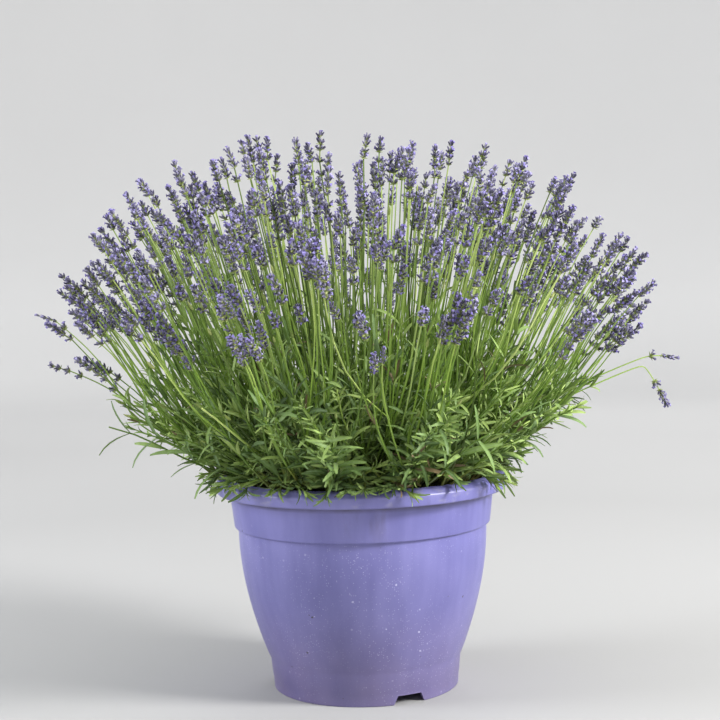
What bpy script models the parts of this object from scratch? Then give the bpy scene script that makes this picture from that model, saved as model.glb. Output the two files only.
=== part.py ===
"""Potted lavender: a flared plastic pot with a lip and a collar, its soil, and a lavender bush grown in it.

Metres, +Z up. The origin is on the ground under the middle of the pot, and -Y is the front.
The bush is made of sprays. Each spray is a woody stub that stands in a hole in the soil, with its
flower stems, its leafy shoots and their leaves fused to it. A flower head sits on the end of each
flower stem, and heads that grow pressed together are fused into one tuft.
"""

import itertools
import math
import random

import bmesh
import bpy
from mathutils import Matrix, Vector, noise
from mathutils.geometry import intersect_line_line, intersect_point_line

SIDES = 32  # of every turned ring of the pot and the soil
GAP = 0.0003  # clearance between two pieces that touch
CUT_PAST = 0.003  # how far a cutter runs past what it cuts
FRONT = Vector((0, -1, 0))

# Pot, outside sizes
POT_HEIGHT = 0.2135
FOOT_R = 0.0925
NECK_R, NECK_Z = 0.0955, 0.030
SHOULDER_R, SHOULDER_Z = 0.124, 0.160
COLLAR_R, COLLAR_Z = 0.128, 0.165
COLLAR_TOP_R, COLLAR_TOP_Z = 0.1315, 0.1935
LIP_R, LIP_Z, LIP_TOP_Z = 0.145, 0.200, 0.207
LIP_EDGE, LIP_UNDERCUT, LIP_SLOPE = 0.0045, 0.003, 0.0015
CREST_R, CREST_WIDTH = 0.134, 0.002
WALL = 0.0028
FOOT_RING = 0.004
FLOOR_UNDER, FLOOR_TOP = 0.010, 0.013
BODY_RINGS = 3

# Three notches let water out under the foot ring, and the floor has a ring of drain holes
NOTCH_AZIMUTHS = (26.5, 146.5, 266.5)
NOTCH_WIDTH, NOTCH_TOP_WIDTH, NOTCH_HEIGHT, NOTCH_REACH = 0.036, 0.025, 0.009, 0.012
DRAIN_HOLES, DRAIN_CIRCLE_R, DRAIN_R, DRAIN_SIDES = 6, 0.060, 0.006, 6

# Soil
SOIL_Z = 0.199
SOIL_BUMP, SOIL_BUMP_SIZE = 0.0028, 0.022
SOIL_RINGS, SOIL_EDGE_DROP, SOIL_EDGE_SHARE = 3, 0.002, 0.97
HOLE_DEPTH = 0.022

# Bush. A slope is a distance from the axis over spread(z). Stems spread out in the leafy base, and
# each then keeps to its slope, on a straight ray from a point far under the soil.
RAY_Z, RAYS_FROM_Z = -0.070, 0.330
BASE_SPREAD = 0.145
MIDDLE_SLOPE, INNER_SLOPE, LAST_SLOPE = 0.24, 0.48, 0.70
STUB_SLOPES = {"middle": 0.0, "inner": 0.37, "outer": 0.63}
INNER_SPRAYS, OUTER_SPRAYS = 5, 6
DOME_Z, DOME_FALL = 0.566, 0.41
FLOWER_DEPTH, DEPTH_FALL, DEPTH_POWER = 0.095, 0.080, 1.5
SEED = 25

STUB_R, STUB_TOP_R, STUB_RISE, STUB_SIDES = 0.0080, 0.0074, 0.009, 6
START_RISE, START_R, START_SPACING, START_ROUNDS = 0.0062, 0.0050, 0.0025, 60
START_FAN = 0.015  # how far apart two stems of a spray start for each 1 of slope between them
STEM_R, STEM_SHARES = 0.0011, (0, 0.25, 1)
SPREAD_POWER, NOD, NOD_POWER = 4, 0.09, 8

# Flower heads: rings of blunt points, in each of which every second point stands out
HEAD_R, HEAD_WAIST, HEAD_COLUMNS, HEAD_PITCH, HEAD_LIFT = 0.0065, 0.72, 4, 0.0102, 0.0032
HEAD_TAPER, HEAD_TAPER_POWER, RING_SHIFT = 0.30, 3, 0.45
HEAD_LENGTHS = (0.026, 0.042)
TUFT_SPACING = 0.0087
HEAD_STAGGER = 0.013
HEAD_CLEARANCE = 2 * HEAD_R + 0.0010
STEM_CLEARANCE = HEAD_R + STEM_R + 0.0004
CELL_MARGIN = 0.0006
TRIES, SPOTS_COMPARED = 200, 10
TUFTS = {"middle": (4,), "inner": (3, 3, 3, 3, 3), "outer": (3, 4, 4, 4, 4, 3)}
TUFT_SIZES = (3, 4, 4, 4)

# Stray stems on the two sides, as the points (x, y, z) of the stem after the stub and the flower's tip
STRAYS = {
    "outer_2": (
        ((0.150, 0.004, 0.262), (0.226, 0.004, 0.297), (0.276, 0.003, 0.317), (0.291, 0.003, 0.3215),
         (0.3035, 0.003, 0.3215), (0.3225, 0.003, 0.3185)),
        ((0.150, -0.004, 0.256), (0.226, -0.004, 0.291), (0.276, -0.005, 0.311), (0.2865, -0.005, 0.310),
         (0.2990, -0.006, 0.2880), (0.3080, -0.006, 0.2700)),
    ),
    "outer_5": (
        ((-0.150, 0.012, 0.238), (-0.218, 0.014, 0.268), (-0.236, 0.014, 0.2905), (-0.262, 0.014, 0.308),
         (-0.291, 0.014, 0.321), (-0.3130, 0.014, 0.3275)),
        ((-0.150, -0.012, 0.234), (-0.2120, -0.016, 0.261), (-0.2310, -0.017, 0.288), (-0.255, -0.018, 0.334),
         (-0.2960, -0.019, 0.372), (-0.3180, -0.019, 0.380)),
        ((-0.150, 0.038, 0.240), (-0.210, 0.046, 0.2905), (-0.243, 0.050, 0.331), (-0.260, 0.051, 0.357),
         (-0.2880, 0.052, 0.400), (-0.3050, 0.052, 0.4200)),
    ),
}

# Leafy shoots and their leaves
SHOOTS = {"middle": 2, "inner": 3, "outer": 3}
SHOOT_R, SHOOT_TIP = 0.0012, 0.022
MOUND_Z, MOUND_FALL, SHOOT_DEPTH = 0.325, 0.070, 0.035
LAST_SHOOT_SLOPE = 0.95
LEAF_SHARES = (0.42, 0.66, 0.90)
LEAF_LENGTHS, LEAF_RISES, LEAF_DROOP = (0.032, 0.050), (28, 58), 0.3
LEAF_WIDTH, LEAF_THICKNESS = 0.0050, 0.0016
LEAF_MARGIN, LEAF_CLEARANCE = 0.0030, 0.0034
LEAF_TESTS, OFF_SHOOT = (0.35, 0.6, 0.8, 1), 0.12  # shares of a leaf's length
SHOOT_TESTS, SHOOT_MARGIN, POT_MARGIN = (0.2, 0.42, 0.55, 0.66, 1), 0.004, 0.005
SHOOT_TRIES, SHOOT_TURNS = 300, 24

COLOURS = {
    "pot": (0.36, 0.33, 0.68),
    "soil": (0.045, 0.032, 0.022),
    "green": (0.16, 0.27, 0.06),
    "flower": (0.13, 0.10, 0.36),
}
ROUGHNESS = {"pot": 0.45, "soil": 0.95, "green": 0.6, "flower": 0.8}


# Layout of the bush

def spread(z):
    """The distance from the axis of a stem of slope 1: a straight ray above, drawn in towards the soil."""
    left = (RAYS_FROM_Z - z) / (RAYS_FROM_Z - SOIL_Z)
    drawn_in = SOIL_Z - RAY_Z - BASE_SPREAD
    return z - RAY_Z - drawn_in * min(1.0, max(0.0, left)) ** 2


class Cell:
    """The wedge of space that one spray keeps to: a span of azimuth and a span of slope."""

    def __init__(self, kind, name, azimuth, half_width, low, high):
        self.kind = kind
        self.name = name
        self.azimuth = azimuth
        self.half_width = half_width
        self.low = low
        self.high = high

    def holds(self, point, margin):
        """Whether a point is inside the wedge by at least the margin."""
        reach = spread(point.z)
        tilt = (spread(point.z + GAP) - reach) / GAP
        radius = point.xy.length
        if self.low and radius - self.low * reach < margin * math.hypot(1, self.low * tilt):
            return False
        if self.high and self.high * reach - radius < margin * math.hypot(1, self.high * tilt):
            return False
        if self.half_width >= 180:
            return True
        azimuth = math.degrees(math.atan2(point.x, -point.y))
        turn = abs((azimuth - self.azimuth + 180) % 360 - 180)
        if turn >= self.half_width:
            return False
        return radius * math.sin(math.radians(min(90, self.half_width - turn))) >= margin


def square_to(axis, side):
    """The direction nearest to a side that is square to an axis."""
    return (side - side.dot(axis) * axis).normalized()


def around(azimuth, radius, z):
    """The point at an azimuth in degrees, which runs from the front towards the right."""
    angle = math.radians(azimuth)
    return Vector((radius * math.sin(angle), -radius * math.cos(angle), z))


def at(azimuth, slope, z):
    return around(azimuth, slope * spread(z), z)


def dome_z(slope):
    """The height of the tallest flower tips."""
    return DOME_Z - DOME_FALL * slope ** 2


def spray_cells():
    cells = [Cell("middle", "middle", 0, 180, 0, MIDDLE_SLOPE)]
    for i in range(INNER_SPRAYS):
        step = 360 / INNER_SPRAYS
        cells.append(Cell("inner", f"inner_{i + 1}", step * i, step / 2, MIDDLE_SLOPE, INNER_SLOPE))
    for i in range(OUTER_SPRAYS):
        step = 360 / OUTER_SPRAYS
        cells.append(Cell("outer", f"outer_{i + 1}", step * (i + 0.5), step / 2, INNER_SLOPE, 0))
    return cells


def stub_point(cell, z):
    return at(cell.azimuth, STUB_SLOPES[cell.kind], z)


def start_towards(cell, end):
    """The point inside the top of the stub from which a stem to that end grows."""
    top = stub_point(cell, SOIL_Z + START_RISE)
    fan = START_FAN * (end.xy / spread(end.z) - top.xy / spread(top.z))
    return top + min(1.0, START_R / max(fan.length, GAP)) * fan.to_3d()


def part_starts(cell, paths):
    """Moves the starts of a spray's stems apart on the top of the stub."""
    centre = stub_point(cell, SOIL_Z + START_RISE)
    for _ in range(START_ROUNDS):
        for one, other in itertools.combinations(paths, 2):
            apart = other[0] - one[0]
            if apart.length < START_SPACING:
                push = 0.5 * (START_SPACING - apart.length) * apart.normalized()
                one[0] -= push
                other[0] += push
        for path in paths:
            out = path[0] - centre
            path[0] = centre + min(1.0, START_R / max(out.length, GAP)) * out


def stem_point(start, end, share):
    """The point at a share of the height: the stem spreads early, keeps its slope and nods out at the end."""
    z = start.z + (end.z - start.z) * share
    first, last = start.xy / spread(start.z), end.xy / spread(end.z)
    nod = NOD * last.length * (1 - share ** NOD_POWER)
    slope = first.lerp(last * (1 - nod), 1 - (1 - share) ** SPREAD_POWER)
    return (slope * spread(z)).to_3d() + Vector((0, 0, z))


def point_distance(point, a, b):
    share = intersect_point_line(point, a, b)[1]
    return (point - a.lerp(b, min(1.0, max(0.0, share)))).length


def segment_distance(a, b, c, d):
    """The least distance between the segments a-b and c-d."""
    ends = ((a, c, d), (b, c, d), (c, a, b), (d, a, b))
    best = min(point_distance(*end) for end in ends)
    nearest = intersect_line_line(a, b, c, d)
    if nearest:
        on_first, on_second = nearest
        inside_first = 0 <= (on_first - a).dot(b - a) <= (b - a).length_squared
        inside_second = 0 <= (on_second - c).dot(d - c) <= (d - c).length_squared
        if inside_first and inside_second:
            best = min(best, (on_first - on_second).length)
    return best


def path_distance(path, a, b):
    return min(segment_distance(p, q, a, b) for p, q in zip(path, path[1:]))


class Head:
    """A flower head and its stem, whose last point is just under the head's base."""

    def __init__(self, stem, tip, turn):
        self.base = stem[-1]
        self.tip = tip
        self.length = (tip - self.base).length
        self.axis = (tip - self.base).normalized()
        self.turn = turn
        self.stem = stem[:-1] + [self.base - GAP * self.axis]

    def face(self, other):
        """Turns the head so that its points reach towards another head."""
        way = square_to(self.axis, other.base + other.tip - self.base - self.tip)
        side = square_to(self.axis, FRONT)
        self.turn = math.degrees(math.atan2(way.dot(self.axis.cross(side)), way.dot(side)))

    def fits(self, cell, others, own=()):
        """Whether the head and its stem stay in the wedge, clear of the other heads and their stems."""
        if not all(cell.holds(p, HEAD_R + CELL_MARGIN) for p in (self.base, self.tip)):
            return False
        if not all(cell.holds(p, STEM_R + CELL_MARGIN) for p in self.stem[1:]):
            return False
        for other in others:
            apart = segment_distance(self.base, self.tip, other.base, other.tip)
            if apart < (TUFT_SPACING - 2 * GAP if other in own else HEAD_CLEARANCE):
                return False
            if path_distance(self.stem, other.base, other.tip) < STEM_CLEARANCE:
                return False
            if path_distance(other.stem, self.base, self.tip) < STEM_CLEARANCE:
                return False
        return True


def new_head(rng, cell, tip):
    start = start_towards(cell, tip)
    share = 1 - rng.uniform(*HEAD_LENGTHS) / (tip - start).length
    stem = [stem_point(start, tip, share * part) for part in STEM_SHARES]
    return Head(stem, tip, rng.uniform(0, 90))


def random_slope(rng, cell, last):
    """An azimuth and a slope inside the wedge, even over the dome as seen from above."""
    slope = math.sqrt(rng.uniform(cell.low ** 2, (cell.high or last) ** 2))
    return cell.azimuth + rng.uniform(-cell.half_width, cell.half_width), slope


def grow_tuft(rng, cell, others, places):
    """Heads that grow pressed together, at a place that keeps well away from the other tufts."""
    for _ in range(TRIES):
        spots = [at(azimuth, slope, dome_z(slope)) for azimuth, slope in
                 [random_slope(rng, cell, LAST_SLOPE) for _ in range(SPOTS_COMPARED)]]
        spot = max(spots, key=lambda s: min([(s - p).length for p in places], default=0))
        slope = spot.xy.length / spread(spot.z)
        depth = (FLOWER_DEPTH - DEPTH_FALL * slope) * rng.random() ** DEPTH_POWER
        tip = spot.xy.normalized() * slope * spread(spot.z - depth)
        first = new_head(rng, cell, tip.to_3d() + Vector((0, 0, spot.z - depth)))
        if first.fits(cell, others):
            break
    else:
        return []
    places.append(spot)
    tuft = [first]
    wanted = rng.choice(TUFT_SIZES)
    for _ in range(TRIES):
        if len(tuft) >= wanted:
            break
        parent = rng.choice(tuft)
        side = parent.axis.orthogonal().normalized()
        side.rotate(Matrix.Rotation(rng.uniform(0, 2 * math.pi), 3, parent.axis))
        tip = parent.tip + TUFT_SPACING * side + rng.uniform(-HEAD_STAGGER, HEAD_STAGGER) * parent.axis
        slope = tip.xy.length / spread(tip.z)
        if tip.z > dome_z(slope) or slope > LAST_SLOPE:
            continue
        head = new_head(rng, cell, tip)
        head.face(parent)
        if head.fits(cell, others + tuft, tuft):
            tuft.append(head)
    return tuft


def clear_of_pot(point, margin):
    """Whether a point is above the soil and clear of the lip and the wall under it."""
    if point.xy.length > LIP_R + margin:
        return point.z > COLLAR_Z
    if point.xy.length > CREST_R - 3 * WALL - margin:
        return point.z > POT_HEIGHT + margin
    return point.z > SOIL_Z + SOIL_BUMP + margin


class Leaf:
    """A narrow blade from a point on a shoot, rising from it and drooping a little to its tip."""

    def __init__(self, root, along, side, rise, length, droop):
        self.root = root
        way = along * math.cos(rise) + side * math.sin(rise)
        self.tip = root + length * way - Vector((0, 0, droop * length))

    def fits(self, cell, paths, heads):
        """Whether the blade stays in the wedge, clear of the pot, the other stems, leaves and heads."""
        for share in LEAF_TESTS:
            point = self.root.lerp(self.tip, share)
            if not cell.holds(point, LEAF_MARGIN) or not clear_of_pot(point, LEAF_MARGIN):
                return False
        off_shoot = self.root.lerp(self.tip, OFF_SHOOT)
        if any(path_distance(path, off_shoot, self.tip) < LEAF_CLEARANCE for path in paths):
            return False
        return all(segment_distance(self.root, self.tip, h.base, h.tip) > HEAD_R + LEAF_WIDTH for h in heads)


class Shoot:
    """A leafy shoot, with opposite pairs of leaves that each stand a quarter turn from the last pair."""

    def __init__(self, rng, path, turn):
        self.path = path
        self.nodes = []
        for number, share in enumerate(LEAF_SHARES):
            root = stem_point(path[0], path[-1], share)
            along = (stem_point(path[0], path[-1], share + 0.05) - root).normalized()
            first = along.cross(Vector((math.cos(turn), math.sin(turn), 0))).normalized()
            second = along.cross(first)
            side = second if number % 2 else first
            rise = math.radians(rng.uniform(*LEAF_RISES))
            length, droop = rng.uniform(*LEAF_LENGTHS), rng.uniform(0, LEAF_DROOP)
            leaves = [Leaf(root, along, way * side, rise, length, droop) for way in (1, -1)]
            self.nodes.append((root, along, first, second, leaves))

    def keep_fitting(self, cell, paths, heads):
        """Drops the leaves that would cross something, and counts those that stay."""
        kept = []
        for *_, leaves in self.nodes:
            for i, leaf in enumerate(leaves):
                own = [(other.root, other.tip) for other in kept]
                if leaf.fits(cell, paths + own, heads):
                    kept.append(leaf)
                else:
                    leaves[i] = None
        return len(kept)

    def leaf_paths(self):
        return [(leaf.root, leaf.tip) for *_, leaves in self.nodes for leaf in leaves if leaf]


def shoot_path(rng, cell):
    """A shoot's path to a place in the leafy mound."""
    for _ in range(SHOOT_TRIES):
        azimuth, slope = random_slope(rng, cell, LAST_SHOOT_SLOPE)
        z = MOUND_Z - MOUND_FALL * slope ** 2 - SHOOT_DEPTH * rng.random()
        end = at(azimuth, slope, z)
        start = start_towards(cell, end)
        points = [stem_point(start, end, share) for share in SHOOT_TESTS]
        points.append(start.lerp(points[1], 0.5))
        if all(clear_of_pot(p, POT_MARGIN) and cell.holds(p, SHOOT_MARGIN) for p in points):
            break
    return [start, end]


def grow_shoot(rng, cell, path, paths, heads):
    """The shoot on a path, turned so that as many of its leaves as possible stay clear."""
    best, most = None, -1
    for _ in range(SHOOT_TURNS):
        shoot = Shoot(rng, path, rng.uniform(0, math.pi))
        count = shoot.keep_fitting(cell, paths, heads)
        if count > most:
            best, most = shoot, count
    return best


def grow_bush():
    """For each cell, its tufts of heads and its leafy shoots."""
    rng = random.Random(SEED)
    bush = []
    places = []
    for cell in spray_cells():
        tufts = []
        for points in STRAYS.get(cell.name, ()):
            points = [Vector(p) for p in points]
            tufts.append([Head([start_towards(cell, points[1])] + points[:-1], points[-1], 0)])
        index = int(cell.name.split("_")[-1]) - 1 if "_" in cell.name else 0
        for _ in range(TUFTS[cell.kind][index]):
            tufts.append(grow_tuft(rng, cell, sum(tufts, []), places))
        tufts = [tuft for tuft in tufts if tuft]
        heads = sum(tufts, [])
        paths = [shoot_path(rng, cell) for _ in range(SHOOTS[cell.kind])]
        part_starts(cell, [head.stem for head in heads] + paths)
        shoots = []
        for path in paths:
            others = [head.stem for head in heads] + [other for other in paths if other is not path]
            for shoot in shoots:
                others += shoot.leaf_paths()
            shoots.append(grow_shoot(rng, cell, path, others, heads))
        bush.append((cell, tufts, shoots))
    return bush


# Meshes

def new_object(name, shape):
    """An object from a bmesh, as triangles with their faces outwards."""
    bmesh.ops.triangulate(shape, faces=shape.faces)
    bmesh.ops.recalc_face_normals(shape, faces=shape.faces)
    mesh = bpy.data.meshes.new(name)
    shape.to_mesh(mesh)
    shape.free()
    made = bpy.data.objects.new(name, mesh)
    bpy.context.scene.collection.objects.link(made)
    return made


def skin(name, rings, tip=None):
    """A closed body over rings of points, which ends at a tip or in a flat cap."""
    shape = bmesh.new()
    rows = [[shape.verts.new(point) for point in ring] for ring in rings]
    shape.faces.new(rows[0])
    for lower, upper in zip(rows, rows[1:]):
        for i in range(len(lower)):
            j = (i + 1) % len(lower)
            shape.faces.new((lower[i], lower[j], upper[j], upper[i]))
    top = rows[-1]
    if tip is None:
        shape.faces.new(top)
    else:
        point = shape.verts.new(tip)
        for i in range(len(top)):
            shape.faces.new((top[i], top[(i + 1) % len(top)], point))
    return new_object(name, shape)


def ring_points(centre, axis, side, radii, turn=0.0, lifts=None):
    """Points round an axis, one for each radius, from a side on, lifted along it where lifts are given."""
    other = axis.cross(side)
    points = []
    for i, radius in enumerate(radii):
        angle = math.radians(turn) + 2 * math.pi * i / len(radii)
        lift = lifts[i] if lifts else 0
        points.append(centre + radius * (math.cos(angle) * side + math.sin(angle) * other) + lift * axis)
    return points


def tube(name, path, radii, sides):
    rings = []
    side = (path[1] - path[0]).orthogonal()
    for i, point in enumerate(path):
        axis = (path[min(i + 1, len(path) - 1)] - path[max(i - 1, 0)]).normalized()
        side = square_to(axis, side)
        rings.append(ring_points(point, axis, side, [radii[i]] * sides))
    return skin(name, rings)


def head_body(name, head):
    """A spike of blunt points: in each ring, every second point stands out and up."""
    count = max(3, round(head.length / HEAD_PITCH))
    pitch = head.length / count
    side = square_to(head.axis, FRONT)
    rings = [ring_points(head.base, head.axis, side, [HEAD_WAIST * HEAD_R] * HEAD_COLUMNS, head.turn)]
    for level in range(1, count):
        full = HEAD_R * (1 - HEAD_TAPER * (level / count) ** HEAD_TAPER_POWER)
        out = [i % 2 == level % 2 for i in range(HEAD_COLUMNS)]
        radii = [full if stands else HEAD_WAIST * full for stands in out]
        lifts = [HEAD_LIFT if stands else 0 for stands in out]
        centre = head.base + (level - RING_SHIFT) * pitch * head.axis
        rings.append(ring_points(centre, head.axis, side, radii, head.turn, lifts))
    return skin(name, rings, head.tip)


def shoot_body(name, shoot):
    """A four-sided shoot whose leaves are drawn out of its corners as blades."""
    rings = []
    for number, (root, along, first, second, leaves) in enumerate(shoot.nodes):
        corners = [first, second, -first, -second]
        if number == 0:
            rings.append([shoot.path[0] + SHOOT_R * corner for corner in corners])
        if not any(leaves):
            continue
        drawn = [1, 3] if number % 2 else [0, 2]
        waist = [root + SHOOT_R * corner for corner in corners]
        node = [root + 0.5 * LEAF_WIDTH * corner for corner in corners]
        for corner, leaf in zip(drawn, leaves):
            node[corner] = leaf.tip if leaf else waist[corner]
        rings.append([point - 0.5 * LEAF_THICKNESS * along for point in waist])
        rings.append(node)
        rings.append([point + 0.5 * LEAF_THICKNESS * along for point in waist])
    return skin(name, rings, root + SHOOT_TIP * along)


def stub_body(name, cell, growth=0.0):
    """The woody stub from its foot in the soil to its top, or the wider space that its hole needs."""
    bottom = stub_point(cell, SOIL_Z - HOLE_DEPTH - growth)
    top = stub_point(cell, SOIL_Z + STUB_RISE)
    wider = growth / math.cos(math.pi / STUB_SIDES)
    return tube(name, [bottom, top], [STUB_R + wider, STUB_TOP_R + wider], STUB_SIDES)


def islands(shape):
    """The connected bodies of a bmesh, as lists of faces."""
    left = set(shape.faces)
    found = []
    while left:
        body, edge = [], [left.pop()]
        while edge:
            face = edge.pop()
            body.append(face)
            for link in face.edges:
                for neighbour in link.link_faces:
                    if neighbour in left:
                        left.remove(neighbour)
                        edge.append(neighbour)
        found.append(body)
    return found


def body_volume(faces):
    """The signed volume of a closed body of triangles."""
    return sum(f.verts[0].co.dot(f.verts[1].co.cross(f.verts[2].co)) for f in faces) / 6


def fuse(pieces, material):
    """Joins overlapping pieces into one body, with its sealed hollows filled and loose scraps dropped."""
    first, rest = pieces[0], pieces[1:]
    if rest:
        repeats = bpy.data.collections.new(first.name + "_repeats")
        bpy.context.scene.collection.children.link(repeats)
        for piece in rest:
            repeats.objects.link(piece)
        union = first.modifiers.new("Union", "BOOLEAN")
        union.operation = "UNION"
        union.operand_type = "COLLECTION"
        union.collection = repeats
        union.solver = "EXACT"
        bpy.context.view_layer.update()
        whole = bpy.data.meshes.new_from_object(first.evaluated_get(bpy.context.evaluated_depsgraph_get()))
        first.modifiers.clear()
        first.data = whole
        for piece in rest:
            bpy.data.objects.remove(piece)
        bpy.data.collections.remove(repeats)
        shape = bmesh.new()
        shape.from_mesh(whole)
        bmesh.ops.triangulate(shape, faces=shape.faces)
        bodies = sorted(islands(shape), key=body_volume)
        for scrap in bodies[:-1]:
            bmesh.ops.delete(shape, geom=scrap, context="FACES")
        shape.to_mesh(whole)
        shape.free()
    first.data.materials.clear()
    first.data.materials.append(material)
    return first


def turned(name, profile):
    """A closed body turned round the Z axis from an outline that starts and ends on it."""
    shape = bmesh.new()
    chain = [shape.verts.new((r, 0, z)) for r, z in profile]
    edges = [shape.edges.new(pair) for pair in zip(chain, chain[1:])]
    bmesh.ops.spin(
        shape, geom=chain + edges, axis=(0, 0, 1), cent=(0, 0, 0),
        angle=2 * math.pi, steps=SIDES, use_merge=True,
    )
    bmesh.ops.remove_doubles(shape, verts=shape.verts, dist=GAP / 10)
    return new_object(name, shape)


def body_radius(z):
    """The flared side between the neck and the shoulder, steep at both ends."""
    t = (z - NECK_Z) / (SHOULDER_Z - NECK_Z)
    return NECK_R + (SHOULDER_R - NECK_R) * math.sin(0.5 * math.pi * t) ** 0.9


def pot_outside():
    """Outline from the foot up to the crest of the lip."""
    body = []
    for i in range(BODY_RINGS + 1):
        z = NECK_Z + (SHOULDER_Z - NECK_Z) * i / BODY_RINGS
        body.append((body_radius(z), z))
    return [(FOOT_R, 0)] + body + [
        (COLLAR_R, COLLAR_Z),
        (COLLAR_TOP_R, COLLAR_TOP_Z),
        (LIP_R - LIP_EDGE, LIP_Z - LIP_UNDERCUT),
        (LIP_R, LIP_Z),
        (LIP_R, LIP_TOP_Z),
        (LIP_R - LIP_EDGE, POT_HEIGHT - LIP_SLOPE),
        (CREST_R, POT_HEIGHT),
    ]


def inside_radius(z):
    """The inner face of the wall, under the lip."""
    if z > SHOULDER_Z:
        t = (z - SHOULDER_Z) / (POT_HEIGHT - SHOULDER_Z)
        return (SHOULDER_R - WALL) * (1 - t) + (CREST_R - CREST_WIDTH) * t
    return body_radius(max(z, NECK_Z)) - WALL


def inside_levels():
    return [POT_HEIGHT - CREST_WIDTH, SHOULDER_Z, 0.5 * (SHOULDER_Z + NECK_Z), NECK_Z, FLOOR_TOP]


def make_pot(material):
    inner_foot = FOOT_R - FOOT_RING
    profile = [(0, FLOOR_UNDER), (inner_foot, FLOOR_UNDER), (inner_foot, 0)]
    profile += pot_outside()
    profile += [(inside_radius(z), z) for z in inside_levels()]
    profile += [(0, FLOOR_TOP)]
    pot = turned("pot", profile)
    cutters = [notch_cutter(azimuth) for azimuth in NOTCH_AZIMUTHS]
    cutters += [drain_cutter(360 * i / DRAIN_HOLES) for i in range(DRAIN_HOLES)]
    cut(pot, cutters)
    pot.data.materials.append(material)
    return pot


def notch_cutter(azimuth):
    """A wedge-sided block across the foot ring."""
    out = around(azimuth, 1, 0)
    across = around(azimuth + 90, 1, 0)
    rings = []
    for radius in (FOOT_R - NOTCH_REACH, FOOT_R + NOTCH_REACH):
        ring = []
        for z, width in ((-CUT_PAST, NOTCH_WIDTH), (NOTCH_HEIGHT, NOTCH_TOP_WIDTH)):
            for side in ((-1, 1) if z < 0 else (1, -1)):
                ring.append(radius * out + side * 0.5 * width * across + Vector((0, 0, z)))
        rings.append(ring)
    return skin(f"notch_cutter_{azimuth:.0f}", rings)


def drain_cutter(azimuth):
    path = [around(azimuth, DRAIN_CIRCLE_R, z) for z in (FLOOR_UNDER - CUT_PAST, FLOOR_TOP + CUT_PAST)]
    return tube(f"drain_cutter_{azimuth:.0f}", path, [DRAIN_R, DRAIN_R], DRAIN_SIDES)


def cut(body, cutters):
    """Leaves a live Boolean on the body, and its cutters as guides."""
    guides = bpy.data.collections.new(body.name + "_cutters")
    bpy.context.scene.collection.children.link(guides)
    for cutter in cutters:
        bpy.context.scene.collection.objects.unlink(cutter)
        guides.objects.link(cutter)
        cutter.hide_render = True
        cutter.display_type = "WIRE"
    modifier = body.modifiers.new("Cut", "BOOLEAN")
    modifier.operation = "DIFFERENCE"
    modifier.operand_type = "COLLECTION"
    modifier.collection = guides


def soil_height(x, y):
    return SOIL_Z + SOIL_BUMP * noise.noise(Vector((x, y, 0)) / SOIL_BUMP_SIZE)


def make_soil(material, cells):
    """Soil that fills the pot to just under the lip, with a hole for each woody stub."""
    edge_z = SOIL_Z - SOIL_EDGE_DROP
    shrink = GAP / math.cos(math.pi / SIDES)
    levels = [edge_z] + [z for z in inside_levels() if z < edge_z]
    profile = [(0, SOIL_Z)]
    last_ring = SOIL_EDGE_SHARE * inside_radius(edge_z)
    profile += [(last_ring * i / SOIL_RINGS, SOIL_Z) for i in range(1, SOIL_RINGS + 1)]
    for z in levels:
        profile.append((inside_radius(z) - 2 * shrink, max(z, FLOOR_TOP + GAP)))
    profile.append((0, FLOOR_TOP + GAP))
    soil = turned("soil", profile)
    for vertex in soil.data.vertices:
        if vertex.co.z > edge_z + GAP:
            vertex.co.z = soil_height(vertex.co.x, vertex.co.y)
    cut(soil, [stub_body(f"stub_hole_{cell.name}", cell, GAP) for cell in cells])
    soil.data.materials.append(material)
    return soil


def make_spray(cell, heads, shoots, material):
    name = "spray_" + cell.name
    pieces = [stub_body(name, cell)]
    pieces += [tube(f"{name}_stem", head.stem, [STEM_R] * len(head.stem), 3) for head in heads]
    pieces += [shoot_body(f"{name}_shoot", shoot) for shoot in shoots]
    return fuse(pieces, material)


def make_tuft(name, heads, material):
    return fuse([head_body(name, head) for head in heads], material)


def principled(name):
    material = bpy.data.materials.new(name)
    material.use_nodes = True
    shader = material.node_tree.nodes["Principled BSDF"]
    shader.inputs["Base Color"].default_value = (*COLOURS[name], 1)
    shader.inputs["Roughness"].default_value = ROUGHNESS[name]
    shader.inputs["Metallic"].default_value = 0
    return material


def main():
    for old in list(bpy.data.objects):
        bpy.data.objects.remove(old)
    materials = {name: principled(name) for name in COLOURS}
    bush = grow_bush()
    pot = make_pot(materials["pot"])
    pot.data.shade_smooth()
    pot.data.set_sharp_from_angle(angle=math.radians(35))
    make_soil(materials["soil"], [entry[0] for entry in bush])
    for cell, tufts, shoots in bush:
        make_spray(cell, sum(tufts, []), shoots, materials["green"])
        for number, heads in enumerate(tufts, 1):
            make_tuft(f"flowers_{cell.name}_{number}", heads, materials["flower"])


main()
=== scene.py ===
"""Looks of the potted lavender: its pot, soil and bush in detail, with the floor, the light and the camera.

The bush is laid out by the rule and the draws that place its solids. Each stem, leaf, calyx and petal
is modelled on that layout, and further stems, shoots and leaves fill it up to the density of the real one.
Metres, +Z up, -Y to the front.
"""

import itertools
import math
import random

import bmesh
import bpy
import numpy as np
from mathutils import Matrix, Vector, noise
from mathutils.geometry import intersect_line_line, intersect_point_line


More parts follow.
